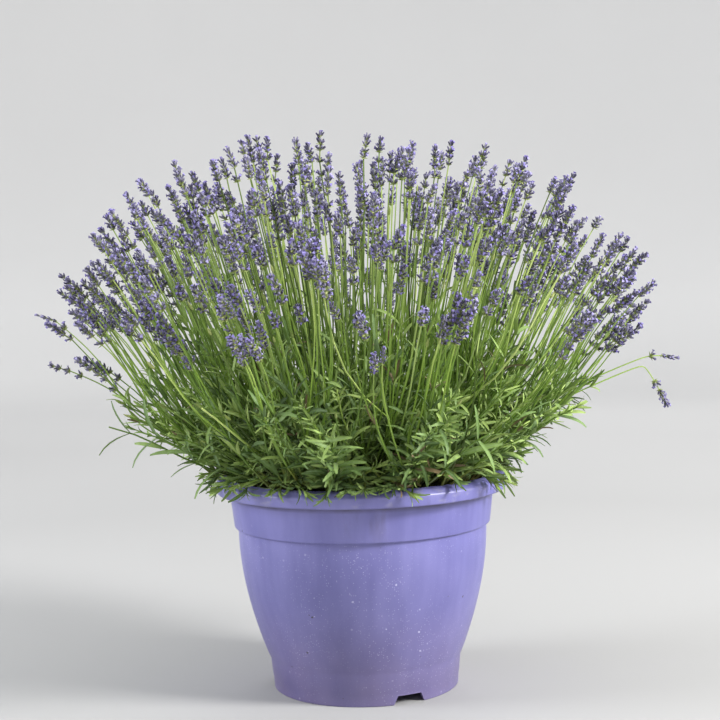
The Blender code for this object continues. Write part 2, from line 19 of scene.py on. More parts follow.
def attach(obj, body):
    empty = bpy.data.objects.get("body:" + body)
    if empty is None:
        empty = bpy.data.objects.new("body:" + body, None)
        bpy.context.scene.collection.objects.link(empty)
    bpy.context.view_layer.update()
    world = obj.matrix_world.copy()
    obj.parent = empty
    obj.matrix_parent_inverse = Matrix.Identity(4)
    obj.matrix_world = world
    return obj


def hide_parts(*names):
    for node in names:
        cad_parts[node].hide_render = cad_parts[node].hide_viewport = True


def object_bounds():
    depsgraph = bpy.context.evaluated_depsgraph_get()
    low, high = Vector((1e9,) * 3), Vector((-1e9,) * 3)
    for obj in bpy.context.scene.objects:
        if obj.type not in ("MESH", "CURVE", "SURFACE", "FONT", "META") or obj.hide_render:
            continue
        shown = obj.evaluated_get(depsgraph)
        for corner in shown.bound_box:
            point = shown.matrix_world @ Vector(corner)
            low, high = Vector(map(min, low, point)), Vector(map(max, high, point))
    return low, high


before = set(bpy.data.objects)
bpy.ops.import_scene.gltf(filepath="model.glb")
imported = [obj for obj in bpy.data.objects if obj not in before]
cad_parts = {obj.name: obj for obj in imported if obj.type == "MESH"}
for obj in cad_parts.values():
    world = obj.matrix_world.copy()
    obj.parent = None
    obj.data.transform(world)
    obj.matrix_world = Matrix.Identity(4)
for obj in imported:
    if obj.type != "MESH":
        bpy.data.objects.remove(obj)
CAD_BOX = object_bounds()

TURN_STEPS = 192  # of every turned ring
TOUCH = 0.00001  # points nearer than this are the same point
GAP = 0.0003  # between two solids that touch
CUT_PAST = 0.003  # how far a cutter runs past what it cuts
FRONT = Vector((0, -1, 0))

# Pot, outside sizes
POT_HEIGHT = 0.2135
FOOT_R = 0.0925
NECK_R, NECK_Z = 0.0955, 0.030
SHOULDER_R, SHOULDER_Z = 0.124, 0.160
COLLAR_R, COLLAR_Z = 0.128, 0.165
COLLAR_TOP_R, COLLAR_TOP_Z = 0.1315, 0.1935
LIP_R, LIP_Z, LIP_TOP_Z = 0.145, 0.200, 0.207
LIP_EDGE, LIP_SLOPE = 0.0045, 0.0015
CREST_R, CREST_WIDTH = 0.134, 0.002
WALL = 0.0028
FOOT_RING = 0.004
FLOOR_UNDER, FLOOR_TOP = 0.010, 0.013
BODY_RINGS = 26
ROUNDS = (  # the pot's edges from the foot to the crest, each a radius, a height and its rounding
    (FOOT_R, 0, 0.0009),
    (COLLAR_R - 0.0002, COLLAR_Z - 0.0018, 0.0010),
    (COLLAR_TOP_R, COLLAR_TOP_Z + 0.0022, 0.0006),
    (LIP_R - 0.0008, LIP_Z - 0.0024, 0.0009),
    (LIP_R, LIP_TOP_Z + 0.0006, 0.0013),
    (LIP_R - LIP_EDGE, POT_HEIGHT - LIP_SLOPE, 0.0014),
    (CREST_R, POT_HEIGHT, 0.0008),
)
SEAM = (SHOULDER_R + 0.0003, SHOULDER_Z + 0.0026)  # the step under the collar
MOULD_LINE_Z, MOULD_LINE_DEPTH, MOULD_LINE_HEIGHT = 0.012, 0.0004, 0.0006

NOTCH_AZIMUTHS = (26.5, 146.5, 266.5)
NOTCH_WIDTH, NOTCH_TOP_WIDTH, NOTCH_HEIGHT, NOTCH_REACH = 0.036, 0.025, 0.009, 0.012
DRAIN_HOLES, DRAIN_CIRCLE_R, DRAIN_R, DRAIN_SIDES = 6, 0.060, 0.006, 24

# Soil
SOIL_Z = 0.199
SOIL_BUMP, SOIL_BUMP_SIZE = 0.0028, 0.022
SOIL_GRAIN, SOIL_GRAIN_SIZE = 0.0012, 0.005
SOIL_RINGS, SOIL_EDGE_DROP, SOIL_EDGE_SHARE = 44, 0.002, 0.97
HOLE_DEPTH, HOLE_SIDES = 0.022, 18
CRUMBS, CRUMB_SIZES, CRUMB_SHAPES, CRUMB_LIFT = 1500, (0.0006, 0.0021), 6, 0.3
CRUMB_DENTS, CRUMB_WIDTHS, CRUMB_HEIGHTS = (0.7, 1.1), (0.6, 1), (0.5, 0.8)
CHIPS, CHIP_LENGTHS, CHIP_SLIMNESS, CHIP_LIFT = 170, (0.005, 0.014), 0.12, 0.001
CHIP_TILTS, CHIP_TINTS = (72, 100), (0.6, 1)

# Bush. A slope is a distance from the axis over spread(z). Stems spread out in the leafy base, and
# each then keeps to its slope, on a straight ray from a point far under the soil.
RAY_Z, RAYS_FROM_Z = -0.070, 0.330
BASE_SPREAD = 0.145
MIDDLE_SLOPE, INNER_SLOPE, LAST_SLOPE = 0.24, 0.48, 0.70
STUB_SLOPES = {"middle": 0.0, "inner": 0.37, "outer": 0.63}
INNER_SPRAYS, OUTER_SPRAYS = 5, 6
DOME_Z, DOME_FALL = 0.566, 0.41
FLOWER_DEPTH, DEPTH_FALL, DEPTH_POWER = 0.095, 0.080, 1.5
SEED = 25

STUB_R, STUB_TOP_R, STUB_RISE = 0.0080, 0.0074, 0.009
STUB_STEPS, STUB_CORNERS, STUB_DENT, STUB_END = 12, 18, 0.05, 0.45
BARK = 1  # the finish of the stubs, in the order of the slots of the stems
START_RISE, START_R, START_SPACING, START_ROUNDS = 0.0062, 0.0050, 0.0025, 60
START_FAN = 0.015
STEM_R, STEM_SHARES = 0.0011, (0, 0.25, 1)
SPREAD_POWER, NOD, NOD_POWER = 4, 0.09, 8

HEAD_R, HEAD_LENGTHS = 0.0065, (0.026, 0.042)
TUFT_SPACING, HEAD_STAGGER = 0.0087, 0.013
HEAD_CLEARANCE = 2 * HEAD_R + 0.0010
STEM_CLEARANCE = HEAD_R + STEM_R + 0.0004
CELL_MARGIN = 0.0006
TRIES, SPOTS_COMPARED = 200, 10
TUFTS = {"middle": (4,), "inner": (3, 3, 3, 3, 3), "outer": (3, 4, 4, 4, 4, 3)}
TUFT_SIZES = (3, 4, 4, 4)

# Stray stems on the two sides, as the points (x, y, z) of the stem after the stub and the flower's tip
STRAYS = {
    "outer_2": (
        ((0.150, 0.004, 0.262), (0.226, 0.004, 0.297), (0.276, 0.003, 0.317), (0.291, 0.003, 0.3215),
         (0.3035, 0.003, 0.3215), (0.3225, 0.003, 0.3185)),
        ((0.150, -0.004, 0.256), (0.226, -0.004, 0.291), (0.276, -0.005, 0.311), (0.2865, -0.005, 0.310),
         (0.2990, -0.006, 0.2880), (0.3080, -0.006, 0.2700)),
    ),
    "outer_5": (
        ((-0.150, 0.012, 0.238), (-0.218, 0.014, 0.268), (-0.236, 0.014, 0.2905), (-0.262, 0.014, 0.308),
         (-0.291, 0.014, 0.321), (-0.3130, 0.014, 0.3275)),
        ((-0.150, -0.012, 0.234), (-0.212, -0.016, 0.261), (-0.231, -0.017, 0.288), (-0.255, -0.018, 0.334),
         (-0.296, -0.019, 0.372), (-0.318, -0.019, 0.380)),
        ((-0.150, 0.038, 0.240), (-0.210, 0.046, 0.2905), (-0.243, 0.050, 0.331), (-0.260, 0.051, 0.357),
         (-0.2880, 0.052, 0.400), (-0.3050, 0.052, 0.4200)),
    ),
}

# Leafy shoots and their leaves, as the solids have them
SHOOTS = {"middle": 2, "inner": 3, "outer": 3}
MOUND_Z, MOUND_FALL, SHOOT_DEPTH = 0.325, 0.070, 0.035
LAST_SHOOT_SLOPE = 0.95
LEAF_SHARES = (0.42, 0.66, 0.90)
LEAF_LENGTHS, LEAF_RISES, LEAF_DROOP = (0.032, 0.050), (28, 58), 0.3
LEAF_WIDTH = 0.0050
LEAF_MARGIN, LEAF_CLEARANCE = 0.0030, 0.0034
LEAF_TESTS, OFF_SHOOT = (0.35, 0.6, 0.8, 1), 0.12
SHOOT_TESTS, SHOOT_MARGIN, POT_MARGIN = (0.2, 0.42, 0.55, 0.66, 1), 0.004, 0.005
SHOOT_TRIES, SHOOT_TURNS = 300, 24
AHEAD = 0.05  # share of a shoot over which its direction is taken

# Further heads in each kind of spray
MORE_HEADS = {"middle": 78, "inner": 54, "outer": 29}
MORE_HEAD_LENGTHS, MORE_HEAD_SPACING, MORE_HEAD_SPOTS = (0.016, 0.031), 0.0080, 6
MORE_HEAD_DEPTH = 0.030  # how much deeper under the dome they reach than the solid ones
FRONT_HALF_WIDTH, FRONT_LOW_Z, FRONT_LOW_SHARE = 58, 0.435, 0.32  # few hang low at the front and back
LOW_HEAD_SHARE, LOW_HEAD_DEPTHS, LEAST_HEAD_Z = 0.04, (0.6, 1), 0.372
LOW_HEAD_DEPTH = 0.150
RIGHT_REACH = 0.288
HEAD_LEAN = 0.35  # how far a further head may lean off its stem's line, over its length
BORROWED_SHARE, BORROWED_REACH = 0.42, 0.100  # stems that grow from the stub of a neighbouring spray
CROSSING_SHARE, CROSSING_REACH = 0.15, 0.165  # and from one further off, across the others
LOOSE_START, START_DEPTH = 0.024, 0.008  # how far from its stub, and how deep, a further stem may start
HEAD_NARROWINGS = ((1, 1), (0.9, 1), (0.8, 1), (0.7, 1), (0.6, 1), (0.5, 1), (0.5, 0.96), (0.4, 0.92))

# Stems. Those near the edge of the bush are thinner and paler by painted light, and those deep inside it may
# be darker by painted shade, over a tone that varies at random
STEM_STEPS, STEM_SWAY = 9, 0.0070
STEM_FOOT_R, STEM_FOOT_LOSS, STEM_HEAD_R, STEM_HEAD_LOSS = 0.00108, 0.00012, 0.00078, 0.00010
STEM_TINTS, STEM_PALER = (0.30, 0.72), 0.28
WOOD_R, WOOD_LENGTH = 0.0011, 0.016  # how much thicker a stem is at its foot, and over what length
MARK_LENGTH = 0.35  # length of stem for 1 of the mark that colours it from foot to tip
STEM_PAIRS, STEM_PAIR_SHARES, STEM_PAIR_RISES = (1, 2, 3, 3), (0.12, 0.68), (8, 55)
STEM_LEAF_LENGTHS, STEM_LEAF_TINTS, STEM_LEAF_BENDS = (0.016, 0.036), (0.1, 0.9), (0, 0.8)
HEAD_TINT_SHUFFLE = 0.28

# Stems in bud
BUD_STEMS = {"middle": 16, "inner": 18, "outer": 13}
BUD_DEPTHS, BUD_ROOM, BUD_SWAY, BUD_SIZES = (0.06, 0.22), 0.012, 0.004, (0.45, 0.8)
BUD_STEM_R, BUD_STEM_END_R = 0.0011, 0.0008
BUD_PAIR_SHARES, BUD_PAIR_RISE, BUD_PAIR_LENGTH = (0.2, 0.6), 0.6, 0.028

# Leafy shoots: in the mound, over the lip, and lying on the lip
FULL_MOUND_Z, FULL_MOUND_FALL, FULL_MOUND_DEPTH, FULL_MOUND_POWER = 0.345, 0.125, 0.100, 1.2
FULL_MOUND_SLOPE, MOUND_ROOM, MOUND_POT_ROOM, MOUND_SWAY = 0.74, 0.010, 0.002, 0.003
SHOOT_STEPS, SHOOT_R, SHOOT_END_R, SHOOT_WOOD = 8, 0.0011, 0.0007, 0.0007
BARE, YOUNG_LENGTH = 0.25, 0.5  # share of a shoot without leaves, and length of its young leaves
MORE_SHOOTS = {"middle": 9, "inner": 11, "outer": 17}
MORE_SHOOT_LEAVES, MORE_SHOOT_BARE = (0.020, 0.036), (0.20, 0.45)
RIM_SHOOTS, HANGING_SHOOTS = {"outer": 12}, {"outer": 10}
RIM_LEAVES, RIM_BARE, RIM_BENDS, RIM_YOUNG = (0.018, 0.029), 0.3, (0.4, 1), 0.65
HANGING_LEAVES, HANGING_BARE, HANGING_BENDS, HANGING_YOUNG = (0.018, 0.027), 0.45, (0.7, 1), 0.85
THIN_SHOOT_R = 0.0009
SHORT_START_DEPTH, SHORT_START_TURN = 0.001, 8
RIM_STARTS, RIM_OVER, RIM_OVER_RISES = (0.080, 0.116), (0.118, 0.130), (0.004, 0.024)
RIM_ENDS, RIM_END_TURN, RIM_END_RISES = (0.134, 0.162), 14, (0.004, 0.030)
HANGING_STARTS, HANGING_OVER, HANGING_OVER_RISES = (0.094, 0.114), (0.002, 0.006), (0.005, 0.011)
HANGING_INSIDE, HANGING_SPAN, HANGING_TURN = 0.007, 0.013, 10
HANGING_END_RISES, HANGING_FALL = (0.002, 0.006), 0.006
PAIR_SPACING, PAIR_SPACING_LOSS = (0.0075, 0.0125), (1.1, 0.3)
SHOOT_RISES, SHOOT_RISE_LOSS = (22, 72), 16
SHOOT_LEAF_LENGTHS, SHOOT_LEAF_LOSS = (0.78, 1.12), 0.42
SHOOT_TINT, SHOOT_TINT_GAIN, SHOOT_TINT_SHUFFLE, PAIR_TURN_SHUFFLE = 0.6, 0.3, 0.18, 0.3
TIP_PAIRS, TIP_RISE, TIP_RISE_LOSS, TIP_LENGTH_LOSS = 3, 24, 7, 0.1
TIP_TINTS, TIP_TINT_GAIN, TIP_BEND = (0.4, 0.35), 0.1, 0.4
SOLID_SHOOT_R, SOLID_SHOOT_END_R, SOLID_SHOOT_TINT, SOLID_SHOOT_WOOD = 0.0012, 0.0008, 0.4, 0.0010
SOLID_LEAF_TINTS, SOLID_LEAF_BENDS, SOLID_SHOOT_LEAVES = (0.1, 0.65), (0.5, 1), 0.030

# Flower heads, whose calyces stand in rings, and lean by degrees off the head's axis
CALYX, PETAL, GREEN = 0, 1, 2  # the finishes of a flower head, in the order of its slots
CALYX_LENGTH, CALYX_R = 0.0066, 0.00120
CALYX_LEVELS = ((0, 0.40), (0.40, 1.05), (1.0, 0.62))  # over the calyx's length and radius
PETAL_LEVELS = ((0.90, 0.55), (1.16, 1.85), (1.08, 0.5))  # a corolla, flared round a sunk throat
BRACT_LEVELS = ((0, 0.6), (0.35, 1.5), (0.85, 0.10))
BUD_LEVELS = ((-0.001, 0.0008), (0.002, 0.0019), (0.006, 0.0021), (0.010, 0.0015), (0.013, 0.0004))
OPEN_SHARE = 0.34
BLOOM_R = 0.0062  # of a head with its corollas
WHORL_PITCH, WHORL_GAPS = 0.0053, (0.0085, 0.0115)
CALYX_TURN_SHUFFLE, CALYX_LEAN_SHUFFLE, CALYX_RISE_SHUFFLE = 16, 11, 0.0008
CALYX_STALK, CALYX_SIZES = 0.0006, (0.82, 1.06)
BRACTS, BRACT_LEANS, BRACT_DROP = 4, (66, 92), 0.0010
FOOT_LEAN, LEAN_LOSS, WHORL_COUNTS = 58, 14, (6, 7)
INNER_RING_RISE, INNER_RING_LEAN_LOSS, INNER_RING_COUNTS = 0.0014, 24, (1, 2, 3)
TIP_RINGS = ((0, 38, 5), (0.0006, 12, 3))  # rise, lean and count of each ring at the tip of a head
HEAD_AXIS_RADII, HEAD_AXIS_START, HEAD_AXIS_END = (0.0008, 0.0007, 0.0004), 0.001, 0.004
LONE_WHORLS, LONE_LEAN, LONE_COUNTS, LONE_SIZE = 4, 46, (5, 6, 7), 0.95
HEAD_PATTERNS = {  # by length, how many of its whorls stand apart in each pattern
    0.016: (0, 0, 0, 0), 0.020: (0, 0, 0, 0), 0.025: (0, 1, 0, 1), 0.030: (1, 1, 0, 1),
    0.034: (1, 1, 1, 2), 0.038: (1, 2, 1, 2), 0.042: (2, 1, 2, 2),
}
LOW_WHORL_SHARE, LOW_WHORL_DROPS = 0.25, (0.009, 0.014)
BEND_ROUNDS = 4  # of smoothing on a stray stem

# Leaves
LEAF_PATTERNS, LEAF_PATTERN_LENGTH, LEAF_HALF_WIDTH, LEAF_STEPS = 16, 0.040, 0.0027, 5
LEAST_BEND, MORE_BEND, BEND_SHUFFLE, BEND_POWER, LEAF_TWIST = 0.05, 1.30, 0.2, 1.3, 0.7
LEAF_SHORTER = 0.88  # of the leaves that the solids have, which are straight
LEAF_FREE = 0.0012  # least distance of a drawn leaf from the pot and the soil
LEAF_BOX_ROOM = 0.0045
LEAF_ROOT_POINTS = 2  # of its path, which may be nearer
LEAF_BROADENING, LEAF_BREADTHS = 0.65, (0.58, 1.05)  # its width follows this power of its length
PAIR_SIDE_RISE, PAIR_RISE_SHUFFLE, PAIR_LENGTHS, LEAF_TINT_SHUFFLE = 0.01, 0.24, (0.78, 1.15), 0.1
DRY_SHARE, DRY_TINT = 0.014, -0.5


# Layout of the bush

def spread(z):
    """The distance from the axis of a stem of slope 1: a straight ray above, drawn in towards the soil."""
    left = (RAYS_FROM_Z - z) / (RAYS_FROM_Z - SOIL_Z)
    drawn_in = SOIL_Z - RAY_Z - BASE_SPREAD
    return z - RAY_Z - drawn_in * min(1.0, max(0.0, left)) ** 2


class Cell:
    """The wedge of space that one spray keeps to: a span of azimuth and a span of slope."""

    def __init__(self, kind, name, azimuth, half_width, low, high):
        self.kind = kind
        self.name = name
        self.azimuth = azimuth
        self.half_width = half_width
        self.low = low
        self.high = high

    def random_azimuth(self, rng):
        return self.azimuth + rng.uniform(-self.half_width, self.half_width)

    def holds(self, point, margin):
        """Whether a point is inside the wedge by at least the margin."""
        reach = spread(point.z)
        tilt = (spread(point.z + GAP) - reach) / GAP
        radius = point.xy.length
        if self.low and radius - self.low * reach < margin * math.hypot(1, self.low * tilt):
            return False
        if self.high and self.high * reach - radius < margin * math.hypot(1, self.high * tilt):
            return False
        if self.half_width >= 180:
            return True
        azimuth = math.degrees(math.atan2(point.x, -point.y))
        turn = abs((azimuth - self.azimuth + 180) % 360 - 180)
        if turn >= self.half_width:
            return False
        return radius * math.sin(math.radians(min(90, self.half_width - turn))) >= margin


def square_to(axis, side):
    """The direction nearest to a side that is square to an axis."""
    return (side - side.dot(axis) * axis).normalized()


def turn_along(axis, side=FRONT):
    """The turn that lays the Z axis along an axis, with the X axis near a side."""
    side = square_to(axis, side)
    return Matrix((side, axis.cross(side), axis)).transposed()


def placed(point, turn, width, length=1.0):
    """The matrix that gives a shape a width and a length, turns it and moves it to a point."""
    return Matrix.Translation(point) @ turn.to_4x4() @ Matrix.Diagonal((width, width, length, 1))


def around(azimuth, radius, z):
    """The point at an azimuth in degrees, which runs from the front towards the right."""
    angle = math.radians(azimuth)
    return Vector((radius * math.sin(angle), -radius * math.cos(angle), z))


def at(azimuth, slope, z):
    return around(azimuth, slope * spread(z), z)


def dome_z(slope):
    """The height of the tallest flower tips."""
    return DOME_Z - DOME_FALL * slope ** 2


def spray_cells():
    cells = [Cell("middle", "middle", 0, 180, 0, MIDDLE_SLOPE)]
    for i in range(INNER_SPRAYS):
        step = 360 / INNER_SPRAYS
        cells.append(Cell("inner", f"inner_{i + 1}", step * i, step / 2, MIDDLE_SLOPE, INNER_SLOPE))
    for i in range(OUTER_SPRAYS):
        step = 360 / OUTER_SPRAYS
        cells.append(Cell("outer", f"outer_{i + 1}", step * (i + 0.5), step / 2, INNER_SLOPE, 0))
    return cells


def stub_point(cell, z):
    return at(cell.azimuth, STUB_SLOPES[cell.kind], z)


def start_towards(cell, end):
    """The point inside the top of the stub from which a stem to that end grows."""
    top = stub_point(cell, SOIL_Z + START_RISE)
    fan = START_FAN * (end.xy / spread(end.z) - top.xy / spread(top.z))
    return top + min(1.0, START_R / max(fan.length, GAP)) * fan.to_3d()


def part_starts(cell, paths):
    """Moves the starts of a spray's stems apart on the top of the stub."""
    centre = stub_point(cell, SOIL_Z + START_RISE)
    for _ in range(START_ROUNDS):
        for one, other in itertools.combinations(paths, 2):
            apart = other[0] - one[0]
            if apart.length < START_SPACING:
                push = 0.5 * (START_SPACING - apart.length) * apart.normalized()
                one[0] -= push
                other[0] += push
        for path in paths:
            out = path[0] - centre
            path[0] = centre + min(1.0, START_R / max(out.length, GAP)) * out


def stem_point(start, end, share):
    """The point at a share of the height of a stem that spreads early and nods out at the end."""
    z = start.z + (end.z - start.z) * share
    first, last = start.xy / spread(start.z), end.xy / spread(end.z)
    nod = NOD * last.length * (1 - share ** NOD_POWER)
    slope = first.lerp(last * (1 - nod), 1 - (1 - share) ** SPREAD_POWER)
    return (slope * spread(z)).to_3d() + Vector((0, 0, z))


def point_distance(point, a, b):
    share = intersect_point_line(point, a, b)[1]
    return (point - a.lerp(b, min(1.0, max(0.0, share)))).length


def segment_distance(a, b, c, d):
    """The least distance between the segments a-b and c-d."""
    ends = ((a, c, d), (b, c, d), (c, a, b), (d, a, b))
    best = min(point_distance(*end) for end in ends)
    nearest = intersect_line_line(a, b, c, d)
    if nearest:
        on_first, on_second = nearest
        inside_first = 0 <= (on_first - a).dot(b - a) <= (b - a).length_squared
        inside_second = 0 <= (on_second - c).dot(d - c) <= (d - c).length_squared
        if inside_first and inside_second:
            best = min(best, (on_first - on_second).length)
    return best


def path_distance(path, a, b):
    return min(segment_distance(p, q, a, b) for p, q in zip(path, path[1:]))


class Head:
    """A flower head and its stem, whose last point is just under the head's base."""

    def __init__(self, stem, tip):
        self.base = stem[-1]
        self.tip = tip
        self.length = (tip - self.base).length
        self.axis = (tip - self.base).normalized()
        self.stem = stem[:-1] + [self.base - GAP * self.axis]

    def middle(self):
        return self.base.lerp(self.tip, 0.5)

    def fits(self, cell, others, own=()):
        """Whether the head and its stem stay in the wedge, clear of the other heads and their stems."""
        if not all(cell.holds(p, HEAD_R + CELL_MARGIN) for p in (self.base, self.tip)):
            return False
        if not all(cell.holds(p, STEM_R + CELL_MARGIN) for p in self.stem[1:]):
            return False
        for other in others:
            apart = segment_distance(self.base, self.tip, other.base, other.tip)
            if apart < (TUFT_SPACING - 2 * GAP if other in own else HEAD_CLEARANCE):
                return False
            if path_distance(self.stem, other.base, other.tip) < STEM_CLEARANCE:
                return False
            if path_distance(other.stem, self.base, self.tip) < STEM_CLEARANCE:
                return False
        return True


def new_head(rng, cell, tip):
    start = start_towards(cell, tip)
    share = 1 - rng.uniform(*HEAD_LENGTHS) / (tip - start).length
    stem = [stem_point(start, tip, share * part) for part in STEM_SHARES]
    rng.uniform(0, 90)  # the turn of its solid, drawn so that the later draws stay in step
    return Head(stem, tip)


def random_slope(rng, cell, last):
    """An azimuth and a slope inside the wedge, even over the dome as seen from above."""
    slope = math.sqrt(rng.uniform(cell.low ** 2, (cell.high or last) ** 2))
    return cell.random_azimuth(rng), slope


def grow_tuft(rng, cell, others, places):
    """Heads that grow pressed together, at a place that keeps well away from the other tufts."""
    for _ in range(TRIES):
        spots = [at(azimuth, slope, dome_z(slope)) for azimuth, slope in
                 [random_slope(rng, cell, LAST_SLOPE) for _ in range(SPOTS_COMPARED)]]
        spot = max(spots, key=lambda s: min([(s - p).length for p in places], default=0))
        slope = spot.xy.length / spread(spot.z)
        depth = (FLOWER_DEPTH - DEPTH_FALL * slope) * rng.random() ** DEPTH_POWER
        tip = spot.xy.normalized() * slope * spread(spot.z - depth)
        first = new_head(rng, cell, tip.to_3d() + Vector((0, 0, spot.z - depth)))
        if first.fits(cell, others):
            break
    else:
        return []
    places.append(spot)
    tuft = [first]
    wanted = rng.choice(TUFT_SIZES)
    for _ in range(TRIES):
        if len(tuft) >= wanted:
            break
        parent = rng.choice(tuft)
        side = parent.axis.orthogonal().normalized()
        side.rotate(Matrix.Rotation(rng.uniform(0, 2 * math.pi), 3, parent.axis))
        tip = parent.tip + TUFT_SPACING * side + rng.uniform(-HEAD_STAGGER, HEAD_STAGGER) * parent.axis
        slope = tip.xy.length / spread(tip.z)
        if tip.z > dome_z(slope) or slope > LAST_SLOPE:
            continue
        head = new_head(rng, cell, tip)
        if head.fits(cell, others + tuft, tuft):
            tuft.append(head)
    return tuft


def clear_of_pot(point, margin):
    """Whether a point is above the soil and clear of the lip and the wall under it."""
    if point.xy.length > LIP_R + margin:
        return point.z > COLLAR_Z
    if point.xy.length > CREST_R - 3 * WALL - margin:
        return point.z > POT_HEIGHT + margin
    return point.z > SOIL_Z + SOIL_BUMP + margin


class Leaf:
    """A narrow blade from a point on a shoot, rising from it and drooping a little to its tip."""

    def __init__(self, root, along, side, rise, length, droop):
        self.root = root
        way = along * math.cos(rise) + side * math.sin(rise)
        self.tip = root + length * way - Vector((0, 0, droop * length))

    def fits(self, cell, paths, heads):
        """Whether the blade stays in the wedge, clear of the pot, the other stems, leaves and heads."""
        for share in LEAF_TESTS:
            point = self.root.lerp(self.tip, share)
            if not cell.holds(point, LEAF_MARGIN) or not clear_of_pot(point, LEAF_MARGIN):
                return False
        off_shoot = self.root.lerp(self.tip, OFF_SHOOT)
        if any(path_distance(path, off_shoot, self.tip) < LEAF_CLEARANCE for path in paths):
            return False
        return all(segment_distance(self.root, self.tip, h.base, h.tip) > HEAD_R + LEAF_WIDTH for h in heads)


class Shoot:
    """A leafy shoot, with opposite pairs of leaves that each stand a quarter turn from the last pair."""

    def __init__(self, rng, path, turn):
        self.path = path
        self.nodes = []
        for number, share in enumerate(LEAF_SHARES):
            root = stem_point(path[0], path[-1], share)
            along = (stem_point(path[0], path[-1], share + AHEAD) - root).normalized()
            side = along.cross(Vector((math.cos(turn), math.sin(turn), 0))).normalized()
            if number % 2:
                side = along.cross(side)
            rise = math.radians(rng.uniform(*LEAF_RISES))
            length, droop = rng.uniform(*LEAF_LENGTHS), rng.uniform(0, LEAF_DROOP)
            leaves = [Leaf(root, along, way * side, rise, length, droop) for way in (1, -1)]
            self.nodes.append((root, along, leaves))

    def keep_fitting(self, cell, paths, heads):
        """Drops the leaves that would cross something, and counts those that stay."""
        kept = []
        for *_, leaves in self.nodes:
            for i, leaf in enumerate(leaves):
                own = [(other.root, other.tip) for other in kept]
                if leaf.fits(cell, paths + own, heads):
                    kept.append(leaf)
                else:
                    leaves[i] = None
        return len(kept)

    def leaf_paths(self):
        return [(leaf.root, leaf.tip) for *_, leaves in self.nodes for leaf in leaves if leaf]


def shoot_path(rng, cell):
    """A shoot's path to a place in the leafy mound."""
    for _ in range(SHOOT_TRIES):
        azimuth, slope = random_slope(rng, cell, LAST_SHOOT_SLOPE)
        z = MOUND_Z - MOUND_FALL * slope ** 2 - SHOOT_DEPTH * rng.random()
        end = at(azimuth, slope, z)
        start = start_towards(cell, end)
        points = [stem_point(start, end, share) for share in SHOOT_TESTS]
        points.append(start.lerp(points[1], 0.5))
        if all(clear_of_pot(p, POT_MARGIN) and cell.holds(p, SHOOT_MARGIN) for p in points):
            break
    return [start, end]


def grow_shoot(rng, cell, path, paths, heads):
    """The shoot on a path, turned so that as many of its leaves as possible stay clear."""
    best, most = None, -1
    for _ in range(SHOOT_TURNS):
        shoot = Shoot(rng, path, rng.uniform(0, math.pi))
        count = shoot.keep_fitting(cell, paths, heads)
        if count > most:
            best, most = shoot, count
    return best


def grow_bush():
    """For each cell, its tufts of heads and its leafy shoots."""
    rng = random.Random(SEED)
    bush = []
    places = []
    for cell in spray_cells():
        tufts = []
        for points in STRAYS.get(cell.name, ()):
            points = [Vector(p) for p in points]
            tufts.append([Head([start_towards(cell, points[1])] + points[:-1], points[-1])])
        index = int(cell.name.split("_")[-1]) - 1 if "_" in cell.name else 0
        for _ in range(TUFTS[cell.kind][index]):
            tufts.append(grow_tuft(rng, cell, sum(tufts, []), places))
        tufts = [tuft for tuft in tufts if tuft]
        heads = sum(tufts, [])
        paths = [shoot_path(rng, cell) for _ in range(SHOOTS[cell.kind])]
        part_starts(cell, [head.stem for head in heads] + paths)
        shoots = []
        for path in paths:
            others = [head.stem for head in heads] + [other for other in paths if other is not path]
            for shoot in shoots:
                others += shoot.leaf_paths()
            shoots.append(grow_shoot(rng, cell, path, others, heads))
        bush.append((cell, tufts, shoots))
    return bush


# Drawn shapes

MARKS = ("along", "ridge", "tint")  # that each point carries
MIDDLE_TINT = 0.5


def path_frames(points, widths):
    """A matrix at each point of a path, along it and without twist, as wide as the widths say."""
    frames = []
    side = (points[1] - points[0]).orthogonal()
    for i, point in enumerate(points):
        axis = (points[min(i + 1, len(points) - 1)] - points[max(i - 1, 0)]).normalized()
        turn = turn_along(axis, side)
        side = turn.col[0].copy()
        frames.append(placed(point, turn, widths[i]))
    return frames


def drawn(outline, frames, marks=None):
    """A mesh drawn out of an outline of (x, y, ridge) points through matrices, closed at both ends.

    Its points carry how far along it they are, how much of a ridge they are and a middle shade.
    """
    shape = bmesh.new()
    along, ridge, tint = (shape.verts.layers.float.new(name) for name in MARKS)
    marks = marks or [i / (len(frames) - 1) for i in range(len(frames))]
    corners = []
    for x, y, height in outline:
        corner = shape.verts.new(frames[0] @ Vector((x, y, 0)))
        corner[ridge] = height
        corner[along] = marks[0]
        corner[tint] = MIDDLE_TINT
        corners.append(corner)
    face = shape.faces.new(corners)
    for last, here, mark in zip(frames, frames[1:], marks[1:]):
        made = bmesh.ops.extrude_face_region(shape, geom=[face])["geom"]
        face = next(item for item in made if isinstance(item, bmesh.types.BMFace))
        bmesh.ops.transform(shape, matrix=here @ last.inverted(), verts=face.verts)
        for corner in face.verts:
            corner[along] = mark
    bmesh.ops.recalc_face_normals(shape, faces=shape.faces)
    return to_mesh(shape, "drawn")


def drawn_up(outline, levels, length=1, radius=1):
    """A mesh drawn up the Z axis through levels, each a height and a width."""
    upright = Matrix.Identity(3)
    return drawn(outline, [placed((0, 0, length * z), upright, radius * w) for z, w in levels])


def gathering():
    """An empty bmesh that takes up drawn shapes with their marks."""
    shape = bmesh.new()
    for name in MARKS:
        shape.verts.layers.float.new(name)
    return shape


